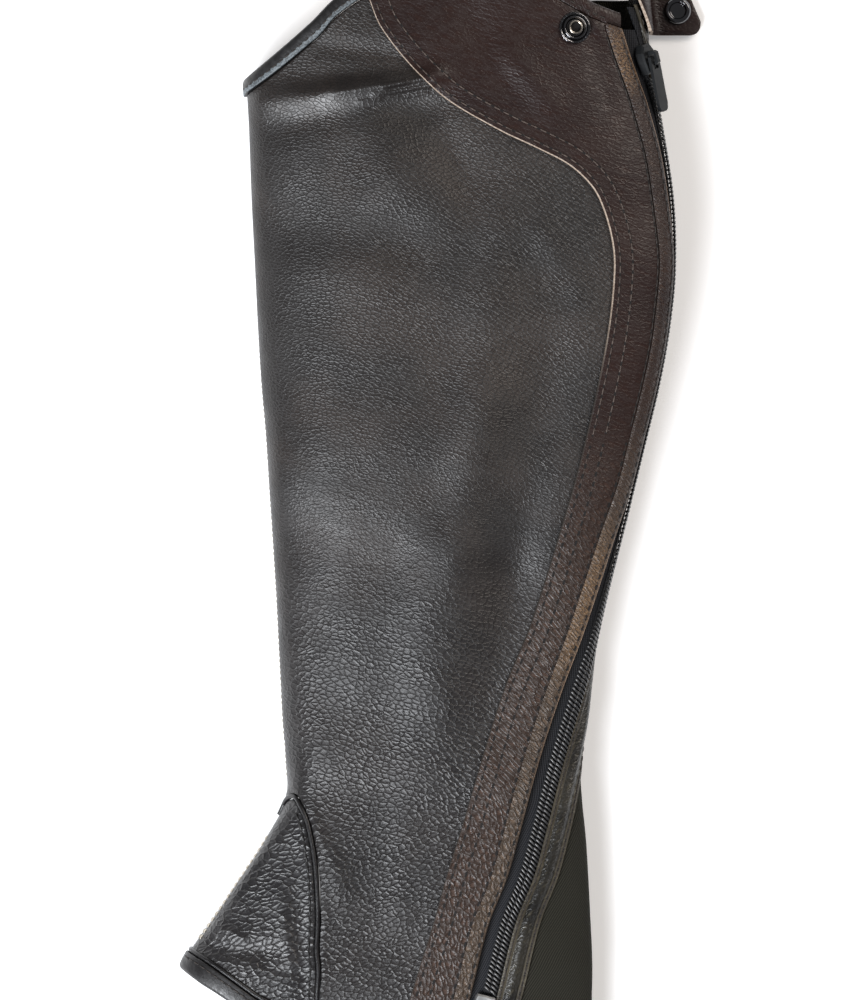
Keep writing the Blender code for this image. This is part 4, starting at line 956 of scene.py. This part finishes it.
inside = beside(seam, CORD_OFF)
inside[-1] = at_girth(hem_in, inside[-1][0])
instep_top = spaced(cut_at(inside[:TIP_COLUMN + 1], FRONT), INSTEP_COLUMNS)
instep_foot = spaced(along_line(hem_in, FRONT, inside[-1][0], TIP_COLUMN + 1), INSTEP_COLUMNS)
instep_front = pairs(FRONT, instep_top[0][1] + (instep_foot[0][1] - instep_top[0][1]) * lower_shares)
instep = coons(instep_top, instep_foot, instep_front, inside[TIP_COLUMN:],
               np.linspace(0.0, 1.0, INSTEP_COLUMNS + 1), lower_shares)
instep_level = edge_roll(instep, beside(seam, 2.2)[TIP_COLUMN:], 1.5, 0.35)
wall("instep_outer", instep, instep_level, -LEATHER, [grain_instep, flesh, dark_edge])
wall("instep_inner", halved(mirrored(instep)), 0.0, -LEATHER, [grain_instep, flesh, dark_edge], turned=True)

smooth_columns = np.linspace(0.0, 1.0, 62)
facing = trimmed(back - (FACING, 0.0))
smooth_middle = coons(at_girth(top_in, lap[0][0] + (facing[0][0] - lap[0][0]) * smooth_columns),
                      at_girth(hem_in, lap[-1][0] + (facing[-1][0] - lap[-1][0]) * smooth_columns),
                      lap, facing, smooth_columns, np.linspace(0.0, 1.0, len(lap)))
near_cut = np.array((0.0, 0.045, 0.09, 0.16, 0.3, 0.45, 0.6, 0.8))
lap_part = edge[:, None] + (lap - edge)[:, None] * near_cut[:, None]
facing_part = facing[:, None] + (back - facing)[:, None] * np.linspace(0.0, 1.0, 9)[1:, None]
smooth_grid = np.concatenate((lap_part, smooth_middle, facing_part), axis=1)
wall("spanish_top", smooth_grid, SMOOTH_FACE, GAP, [smooth_brown, flesh, tan_edge], 0.3, cut_column=0)

near_rows, far_rows = spaced(facing, FACING_ROWS), spaced(back, FACING_ROWS)
facing_columns = stretches((0.0, 0.94, 1.0), (10, 1))
facing_grid = near_rows[:, None] + (far_rows - near_rows)[:, None] * facing_columns[:, None]
slanted = facing_grid[..., 1] + 0.8 * (facing_grid[..., 0] - far_rows[:, None, 0])
ribs = np.sin(slanted * 2 * math.pi / RIB_PITCH + 1.4 * np.sin(slanted * 0.9))
ribs *= (0.6 + 0.4 * np.sin(slanted * 0.37)) * np.clip((60.0 - facing_grid[..., 1]) / 60.0, 0.3, 1.0)
dome = 0.35 * np.sin(np.linspace(0.0, math.pi, 12)) * (1 + 0.5 * ribs)
wall("zip_facing", facing_grid, FACING_LOW + FACING_THICK - 0.3 + dome, FACING_LOW,
     [worn, flesh, dark_edge, facing_edge], 0.25, cut_column=-1)


# Zip

def zip_path(top, bottom, offset=0.0, count=380):
    ups = np.linspace(top, bottom, count)
    return pairs(zip_girth(ups) + offset, ups)


def zip_grid(top, bottom, start, end, columns):
    return zip_path(top, bottom)[:, None] + pairs(np.linspace(start, end, columns), 0.0)


wall("zip_tape_outer", zip_grid(TAPE_TOP, TAPE_FOOT, -FACING, CHAIN_MIDDLE - GAP, 12), 0.0, -TAPE_THICK,
     [tape_cloth] * 3, 0.1)
wall("zip_tape_inner", zip_grid(197.0, TAPE_FOOT, CHAIN_MIDDLE + GAP, TAPE_END, 8), 0.0, -TAPE_THICK,
     [tape_cloth] * 3, 0.1)
chain_line = zip_path(CHAIN_TOP, CHAIN_FOOT, CHAIN_MIDDLE, 700)
core = ((-2.7, GAP), (-2.7, 0.5), (-1.2, 0.8), (1.2, 0.8), (2.7, 0.5), (2.7, GAP))
core_line = chain_line[::3]
sweep("zip_coil_core", core_line, aside(core_line, -1.0), core, [core_cloth], stands_for="zip_chain")


def coil_row(name, side, shift):
    """Loops of one half of the coil, each arched over and slanting along the zip."""
    at = walk(chain_line, TOOTH_PITCH, 0.0, 0.6 + shift)[:, None]
    step = sampled(aside(chain_line, -1.0)[::-1], chain_line[::-1, 1], at[:, 0, 1])[:, None]
    t = np.linspace(0.0, 1.0, 11)
    across = -0.35 + 3.2 * t
    high = 1.0 + 0.85 * np.sin(np.pi * (0.05 + 0.90 * t)) ** 0.4
    slant = -0.6 * side * (across - 1.2)
    up = at[..., 1] + step[..., 1] * across * side + slant
    girth = at[..., 0] + step[..., 0] * across * side + zip_girth(up) - zip_girth(up - slant)
    radii = 0.42 * np.concatenate(([0.8], np.ones(9), [0.8]))
    tubes(name, place(girth, up, high), directions(girth, up)[2], radii, nylon, 8)


coil_row("zip_coil_left", -1.0, 0.0)
coil_row("zip_coil_right", 1.0, TOOTH_PITCH / 2)

strip_profile = [(STRIP_START, GAP)]
for across in STRIP * np.linspace(0.0, 1.0, 25):
    lip = 0.85 + 0.2 * math.sin(min(1.0, across / 2.0) * math.pi)
    roll = 0.0
    if ROLL_FROM < across < ROLL_TO:
        roll = 2.05 * math.sin((across - ROLL_FROM) / (ROLL_TO - ROLL_FROM) * math.pi) ** 0.65
    strip_profile.append((STRIP_START + across, GAP + max(lip if across < 2.3 else 0.75, roll)))
strip_profile.append((STRIP_END, GAP))
strip_kinds = [0 if 2.2 < across - STRIP_START < 7.9 else 1 for across, _ in strip_profile]
strip_line = zip_path(198.0, -214.0)
strip_steps = pairs(np.ones(len(strip_line)), 0.0)
sweep("back_strip_roll", strip_line, strip_steps, strip_profile, [rolled, lip_leather], strip_kinds)


def elastic_girth(up):
    """Girths of the elastic's columns, from under the strip to the underside."""
    near_side = zip_girth(up) + TAPE_END + GAP
    return near_side + (upper_girth(up) + ELASTIC_UNDER - near_side) * np.linspace(0.0, 1.0, ELASTIC_COLUMNS)


top_up = np.full(ELASTIC_COLUMNS, 200.0)
for _ in range(4):
    top_up = np.interp(whole_girth(top_up) - elastic_girth(top_up), *under_top_in.T)
foot_up = at_girth(hem_in, 150.0)[1]
elastic_ups = top_up + (foot_up - top_up) * np.linspace(0.0, 1.0, ELASTIC_ROWS)[:, None]
elastic_grid = pairs(elastic_girth(elastic_ups), elastic_ups)
wall("elastic_panel", elastic_grid, 0.0, -ELASTIC_THICK, [ribbed] * 3, 0.15)


# Piping, bindings and hem

def rounded_band(near, far, low, high, round_near, round_far, puff):
    """Corners of a band's section with rounded edges and a slightly puffed face."""
    corners = []
    for x, z, radius, first in ((far - round_far, low + round_far, round_far, -90),
                                (far - round_far, high - round_far, round_far, 0),
                                (near + round_near, high - round_near, round_near, 90),
                                (near + round_near, low + round_near, round_near, 180)):
        corners += arc(x, z, radius, first, first + 90, 5)
        if first == 0:
            middle, out = (near + far) / 2, (far - near) * 0.2
            corners += [(middle + s * out, high + puff * (1 - abs(s) * 0.4)) for s in (1, 0, -1)]
    return corners


def arc(x, z, radius, start, end, steps=7):
    """Corners of a rounded edge, between two angles."""
    turns = np.radians(np.linspace(start, end, steps))
    return [(x + radius * math.cos(turn), z + radius * math.sin(turn)) for turn in turns]


cord = arc(0.0, CORD_LEVEL, CORD_RADIUS, 90, 450, 13)[:-1]
hem_band = rounded_band(CORD_OFF, HEM_WIDTH, BAND_LOW, BAND_HIGH - 0.15, 0.6, 1.6, 0.15)
binding = rounded_band(0.0, BINDING, BAND_LOW, BAND_HIGH - 0.1, 1.6, 0.5, 0.1)
outer_hem = along_line(hem, FRONT, smooth_grid[-1, -1, 0], 150)
inner_hem = along_line(hem, FRONT, -inner_grid[-1, -1, 0], 120)
hem_end = whole_girth(HEM_BACK) - back[-1][0] - STRIP_END - GAP
hem_turn = inner_hem[-1][0]
around_back = pairs(np.linspace(hem_turn, hem_end, 60)[1:], at_girth(hem, hem_turn)[1])
whole_hem = np.concatenate((inner_hem, around_back))
top_path = along_line(top_line, FRONT, smooth_grid[0, -1, 0], 170)
girths = (whole_girth(elastic_grid[0, ::-1, 1]) - elastic_grid[0, ::-1, 0])[1:-3]
inner_path = np.concatenate((along_line(under_top, FRONT, -inner_grid[0, -1, 0], 110),
                             at_girth(under_top, girths)))
over_panel = (top_path[1:, 0] > edge[0][0])[:, None]
# faces along the binding's lower edge take a pale bluish colour, which turns darker towards the back
pale_line_faces = [1 if across > BINDING - 0.75 and level > 0.2 else 0 for across, level in binding]

for name, line in (("instep_piping_outer_cord", seam), ("instep_piping_inner_cord", mirrored(seam))):
    sweep(name, line, aside(line), cord, [pipe])
for name, line, side, profile, materials, kinds in (
        ("hem_piping_outer_cord", outer_hem, 1.0, cord, [pipe], None),
        ("hem_piping_inner_cord", inner_hem, -1.0, cord, [pipe], None),
        ("hem_band_outer_roll", outer_hem, 1.0, hem_band, [band_leather], None),
        ("hem_band_inner_roll", whole_hem, -1.0, hem_band, [band_leather], None),
        ("top_binding_outer_roll", top_path, 1.0, binding, [band_leather, pale_edge, smooth_brown],
         np.where(over_panel, 2, pale_line_faces)),
        ("top_binding_inner_roll", inner_path, -1.0, binding, [band_leather], None)):
    sweep(name, line * (side, 1.0), downward(line), profile, materials, kinds)


# Stitching

SUNK_FROM = 24.0  # below this the thread of the smooth panel's rows has sunk into the leather
ON_SMOOTH = SMOOTH_FACE + 0.04
ON_FACING = FACING_LOW + FACING_THICK + 0.02
instep_row = beside(seam, 3.2)[TIP_COLUMN + 6:-2]
front_ups = np.linspace(160.0, -112.0, 500)
front_row = pairs(np.interp(-front_ups, (-160.0, -60.0, 0.0, 112.0), (-4.0, -2.0, 1.0, 1.8)), front_ups)
toe_ups = np.linspace(-134.0, -177.0, 200)
strip_rows = [zip_path(197.0, -213.0, offset) for offset in (STRIP_START + 1.1, STRIP_END - 1.1)]
hem_row = below(outer_hem, CORD_OFF + 2.0)[4:-3]
binding_row = below(top_path, BINDING - 1.7)[3:-3]

for name, line, pitch, length, radius, level, thread in (
        ("stitch_edge_near", beside(edge, -2.2), 4.1, 3.1, 0.26, ON_SMOOTH, thread_brown),
        ("stitch_edge_far", beside(edge, -7.2), 4.1, 3.1, 0.26, ON_SMOOTH, thread_brown),
        ("stitch_facing", back - (FACING + 0.7, 0.0), 4.3, 3.2, 0.26, ON_SMOOTH, thread_dark),
        ("stitch_zip_edge", back - (1.5, 0.0), 4.3, 3.2, 0.24, ON_FACING, thread_dark)):
    line = line[6:-4]
    split = int(np.searchsorted(-line[:, 1], -SUNK_FROM))
    stitches(name, line[:split], pitch, length, radius, level, thread)
    stitches(name + "_low", line[split:], pitch, pitch - 0.9, radius * 0.8, level, thread, 0.52, 0.26)

for name, line, pitch, length, radius, level, thread, hole in (
        ("strip_near", strip_rows[0], 4.0, 3.0, 0.26, GAP + 1.0, thread_dark, 0.42),
        ("strip_far", strip_rows[1], 4.0, 3.0, 0.26, GAP + 0.75, thread_brown, 0.42),
        ("instep", instep_row, 4.3, 3.0, 0.34, 0.45, thread_black, 0.5),
        ("instep_under", mirrored(instep_row), 4.3, 3.1, 0.30, 0.0, thread_black, 0.42),
        ("shin", front_row, 2.4, 1.7, 0.17, 0.03, thread_pale, 0.0),
        ("toe_near", pairs(1.6, toe_ups), 2.8, 2.0, 0.26, 0.1, thread_pale, 0.0),
        ("toe_far", pairs(4.4, toe_ups), 2.8, 2.0, 0.26, 0.1, thread_pale, 0.0),
        ("hem_outer", hem_row, 3.4, 2.6, 0.26, BAND_HIGH - 0.02, thread_dark, 0.42),
        ("binding", binding_row, 3.4, 2.5, 0.25, BAND_HIGH - 0.02, thread_dark, 0.0)):
    stitches("stitch_" + name, line, pitch, length, radius, level, thread, hole)


# Snap, tab and strap

def lathe(name, profile, sides, matrix, material):
    """A turned piece placed by a matrix; the profile is (radius, height) from axis to axis."""
    rings = profile[1:-1]
    cosine, sine = (values[:, 0] for values in circle(sides))
    points = [(0.0, 0.0, profile[0][1])]
    for radius, height in rings:
        points += [(radius * x, radius * y, height) for x, y in zip(cosine, sine)]
    points.append((0.0, 0.0, profile[-1][1]))
    base = 1 + (len(rings) - 1) * sides
    faces = []
    for k in range(sides):
        after = (k + 1) % sides
        faces.append((0, 1 + after, 1 + k))
        for low in range(1, base, sides):
            faces.append((low + k, low + after, low + sides + after, low + sides + k))
        faces.append((base + k, base + after, len(points) - 1))
    placed = [np.array(matrix @ Vector(point)) + CENTRE for point in points]
    build(name, placed, faces, [material], sharp=55.0, stands_for=name.rsplit("_", 1)[0])


def seat(girth, up, level):
    """Placement of a hard piece: its Y up the leg, its Z straight out of the leather."""
    _, along, normal = (v[0] for v in directions(np.array([girth]), np.array([up])))
    y_axis = unit(along - normal * (along @ normal))
    matrix = Matrix(np.stack((np.cross(y_axis, normal), y_axis, normal), axis=1).tolist()).to_4x4()
    matrix.translation = Vector(place(girth, up, level) - CENTRE)
    return matrix


def softened(profile):
    """The profile with its corners rounded a little."""
    line = [profile[0]]
    for before, here, after in zip(profile, profile[1:], profile[2:]):
        a, b, c = (np.array(p, float) for p in (before, here, after))
        back_run, on_run = np.linalg.norm(b - a), np.linalg.norm(c - b)
        cut_back = min(0.28, back_run * 0.35, on_run * 0.35)
        enter, leave = b + (a - b) / back_run * cut_back, b + (c - b) / on_run * cut_back
        for t in np.linspace(0.0, 1.0, 4):
            line.append(tuple((1 - t) ** 2 * enter + 2 * t * (1 - t) * b + t * t * leave))
    return line + [profile[-1]]


at = seat(girth_at(SNAP_X, SNAP_UP), SNAP_UP, FACING_LOW)
STUD = ([(0, 0), (6.3, 0)] + arc(5.85, 0.45, 0.45, 0, 100) + [(5.1, 0.55)] + arc(4.15, 1.15, 0.6, -20, 190)
        + [(3.3, 0.5), (2.95, 0.5), (2.9, 1.0), (0, 1.0)])
TUBE = [(0, 0.4), (2.9, 0.4)] + arc(2.4, 2.75, 0.45, 0, 180) + [(1.9, 1.2), (0, 1.2)]
# painted shade: a dark disc inside the stud's tube stands for the shade down its bore
BORE_SHADE = [(0, 1.25), (1.93, 1.25), (1.93, 1.5), (0, 1.5)]
lathe("snap_stud_turned", STUD, 72, at, gunmetal)
lathe("snap_stud_tube", TUBE, 64, at, snap_ring)
lathe("snap_stud_bore", BORE_SHADE, 48, at, shade_paint)
knurl = np.array([[np.array(at @ Vector((r * math.cos(a), r * math.sin(a), z))) + CENTRE
                   for r, z in ((6.2, 0.62), (5.9, 0.86), (5.6, 0.88))]
                  for a in np.linspace(0.0, 2 * math.pi, 26, endpoint=False)])
tubes("snap_stud_knurl", knurl, np.broadcast_to(np.array(at.to_3x3().col[2]), knurl.shape), 0.22, gunmetal)


def tab(along, up, off_face):
    """Places of the snap's tab: along it from its sewn end, over the edge, down and out on the table."""
    along, up, off_face = np.broadcast_arrays(*(np.asarray(v, float) for v in (along, up, off_face)))
    root = zip_girth(up) + TAB_FROM
    edge_girth = upper_girth(up)
    held = edge_girth - root
    on_leg = place(root + np.minimum(along, held), up, TAB_LEVEL + off_face)
    top = place(edge_girth, up, TAB_LEVEL)
    drop = top[..., 2] - TAB_REST - TAB_BEND
    rest = along - held
    turn_by = np.clip((rest - drop) / TAB_BEND, 0.0, math.pi / 2)
    out = np.maximum(0.0, rest - drop - TAB_BEND * math.pi / 2)
    radius = TAB_BEND - off_face
    x = top[..., 0] + TAB_BEND - radius * np.cos(turn_by) + out
    z = top[..., 2] - np.clip(rest, 0.0, drop) - radius * np.sin(turn_by)
    return np.where((along <= held)[..., None], on_leg, np.stack((x, up, z), axis=-1))


middle, half = (TAB_HIGH + TAB_LOW) / 2, (TAB_HIGH - TAB_LOW) / 2
held = float(upper_girth(middle) - zip_girth(middle) - TAB_FROM)
flat_start = held + float(place(upper_girth(middle), middle, TAB_LEVEL)[2]) - TAB_REST - TAB_BEND
flat_start += TAB_BEND * math.pi / 2
round_start = flat_start + TAB_OUT - TAB_ROUND
stops = np.linspace(0.0, flat_start + TAB_OUT - 0.6, 60)
beyond = np.clip((stops - round_start) / TAB_ROUND, 0.0, 1.0)
wide = np.sqrt(np.maximum(0.2, 1 - beyond ** 2.4))
tab_grid = pairs(stops[:, None], middle + half * wide[:, None] * np.linspace(-1.0, 1.0, 17))
wall("snap_tab", tab_grid, TAB_THICK / 2, -TAB_THICK / 2, [smooth_brown, flesh, tan_edge], 0.3, tab, True)
centre = tab(round_start, middle, 0.0)
CAP = ((0, 0), (5.6, 0), (6.3, 0.5), (6.3, 1.1), (0, 1.1))
SOCKET = ((0, 0), (5.4, 0), (5.4, 0.6), (4.6, 1.5), (3.6, 1.5), (3.0, 0.7), (0, 0.7))
on_tab = centre[2] + TAB_THICK / 2 + GAP
for name, profile, height in (("snap_cap", CAP, 0.0), ("snap_socket", SOCKET, on_tab)):
    spot = Vector((centre[0], centre[1], height)) - Vector(CENTRE)
    lathe(name + "_turned", softened(profile), 64, Matrix.Translation(spot), gunmetal)


def strap(x, along, off_face):
    """Places of the elastic strap: inside the upper hem, round its loop and inside the lower hem."""
    x, along, off_face = np.broadcast_arrays(*(np.asarray(v, float) for v in (x, along, off_face)))
    up = np.where(along < 0.0, STRAP_LOW - STRAP_LAP * along, STRAP_LOW)
    girths = np.array([girth_at(a, b) for a, b in zip(x.ravel(), up.ravel())]).reshape(x.shape)
    inside = place(girths, up, STRAP_LEVEL + off_face)[..., 2]
    start_z = place(girths, up, STRAP_LEVEL)[..., 2]
    turn_by = math.pi / 2 + math.pi * np.clip(along, 0.0, 1.0)
    y = STRAP_LOW + (STRAP_LOOP + off_face) * np.cos(turn_by)
    z = (start_z + STRAP_UNDER) / 2 + ((start_z - STRAP_UNDER) / 2 + off_face) * np.sin(turn_by)
    y = np.where(along < 0.0, up, np.where(along > 1.0, STRAP_LOW + STRAP_LAP * (along - 1.0), y))
    z = np.where(along < 0.0, inside, np.where(along > 1.0, STRAP_UNDER - off_face, z))
    return np.stack((x, y, z), axis=-1)


runs = stretches((-1.0, 0.0, 1.0, 2.0), (15, 39, 15))
strap_grid = pairs(np.linspace(STRAP_FROM, STRAP_FROM + STRAP_WIDE, 22), runs[:, None])
wall("stirrup_strap", strap_grid, STRAP_THICK / 2, -STRAP_THICK / 2, [ribbed] * 3, 0.2, strap, True)


# Hard pieces of the model with softened edges

def cast(source, body, material, width):
    """A hard piece in the model's own shape, its edges rounded off a little."""
    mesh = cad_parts[source].data.copy()
    mesh.materials.clear()
    mesh.materials.append(material)
    item = bpy.data.objects.new(source + "_cast", mesh)
    bpy.context.collection.objects.link(item)
    bevel = item.modifiers.new("soft_edges", "BEVEL")
    bevel.width = width
    bevel.segments = 3
    bevel.limit_method = "ANGLE"
    bevel.angle_limit = math.radians(25.0)
    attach(item, body)
    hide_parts(source)


cast("zip_slider", "chap", black_metal, 0.00035)
cast("zip_pull", "pull", black_metal, 0.0003)
cast("zip_box", "chap", silver, 0.0003)


# Cloth and leather, as they were cut

def cut_size(grid):
    """Width and length in metres of the smallest rectangle that holds a flat panel."""
    spots = grid[~np.isnan(grid[..., 0])]
    sizes = []
    for a in np.radians(np.arange(-30.0, 31.0, 1.0)):
        turned = spots @ np.array(((math.cos(a), math.sin(a)), (-math.sin(a), math.cos(a))))
        sizes.append(tuple((turned.max(axis=0) - turned.min(axis=0)) * MM))
    return min(sizes, key=lambda size: size[0] * size[1])


SHAFT_OUTER_TRIMS = ("instep_piping_outer_cord", "hem_piping_outer_cord", "hem_band_outer_roll")
SHAFT_INNER_TRIMS = ("instep_piping_inner_cord", "hem_piping_inner_cord", "hem_band_inner_roll",
                     "top_binding_inner_roll")
SPANISH_TOP_TRIMS = ("zip_facing_shell", "top_binding_outer_roll")
ZIP_TAPE_TRIMS = ("zip_coil_core", "zip_coil_left", "zip_coil_right")
ELASTIC_TRIMS = ("zip_tape_inner_shell", "back_strip_roll")
for name, flat, rests, trims in (
        ("shaft_outer", cut_size(outer_grid), ("shaft_inner_shell",), SHAFT_OUTER_TRIMS),
        ("shaft_inner", cut_size(inner_grid), (), SHAFT_INNER_TRIMS),
        ("instep_outer", cut_size(instep), ("instep_inner_shell",), ()),
        ("instep_inner", cut_size(instep), (), ()),
        ("spanish_top", cut_size(smooth_grid), ("shaft_outer_shell",), SPANISH_TOP_TRIMS),
        ("zip_tape_outer", (TAPE_WIDE * MM, TAPE_LONG * MM), (), ZIP_TAPE_TRIMS),
        ("elastic_panel", cut_size(elastic_grid), ("shaft_inner_shell",), ELASTIC_TRIMS),
        ("snap_tab", cut_size(tab_grid), (), ()),
        ("stirrup_strap", (STRAP_WIDE * MM, STRAP_LONG * MM), (), ())):
    area = min(AREAS[name], flat[0] * flat[1])
    piece = bpy.data.objects[name + "_shell"]


# Floor, light and camera

bpy.ops.mesh.primitive_plane_add(size=6.0, location=(0.0, 0.0, -0.0004))
floor = bpy.context.object
floor.name = "floor"
floor.data.materials.append(paper("pale_paper"))


def area_light(name, place_at, towards, size, power, colour):
    light = bpy.data.lights.new(name, "AREA")
    light.shape = "RECTANGLE"
    light.size, light.size_y = size
    light.energy = power
    light.color = colour
    item = bpy.data.objects.new(name, light)
    item.location = place_at
    item.rotation_euler = (Vector(towards) - Vector(place_at)).to_track_quat("-Z", "Y").to_euler()
    bpy.context.collection.objects.link(item)


area_light("window", (-0.75, -0.86, 1.17), (-0.02, -0.04, 0.0), (0.85, 0.75), 46.0, (0.93, 0.96, 1.0))
area_light("room", (1.4, 1.2, 1.5), (0.0, 0.0, 0.0), (1.2, 1.0), 30.0, (1.0, 0.92, 0.84))
world = bpy.data.worlds.new("room")
world.use_nodes = True
background = world.node_tree.nodes["Background"]
background.inputs[0].default_value = (0.97, 0.97, 1.0, 1.0)
background.inputs[1].default_value = 0.17
scene = bpy.context.scene
scene.world = world
scene.view_settings.view_transform = "Standard"

SEEN_HEIGHT = 0.400  # metres in the picture's height, at the leather's crown
CROWN = 0.025
DISTANCE = 3.0
camera = bpy.data.cameras.new("camera")
camera.sensor_width = 36.0
camera.sensor_fit = "AUTO"
camera.lens = camera.sensor_width * DISTANCE / SEEN_HEIGHT
camera.clip_end = 20.0
viewer = bpy.data.objects.new("camera", camera)
viewer.location = ((1.2 - CENTRE[0]) * MM, (0.0 - CENTRE[1]) * MM, DISTANCE + CROWN)
bpy.context.collection.objects.link(viewer)
scene.camera = viewer
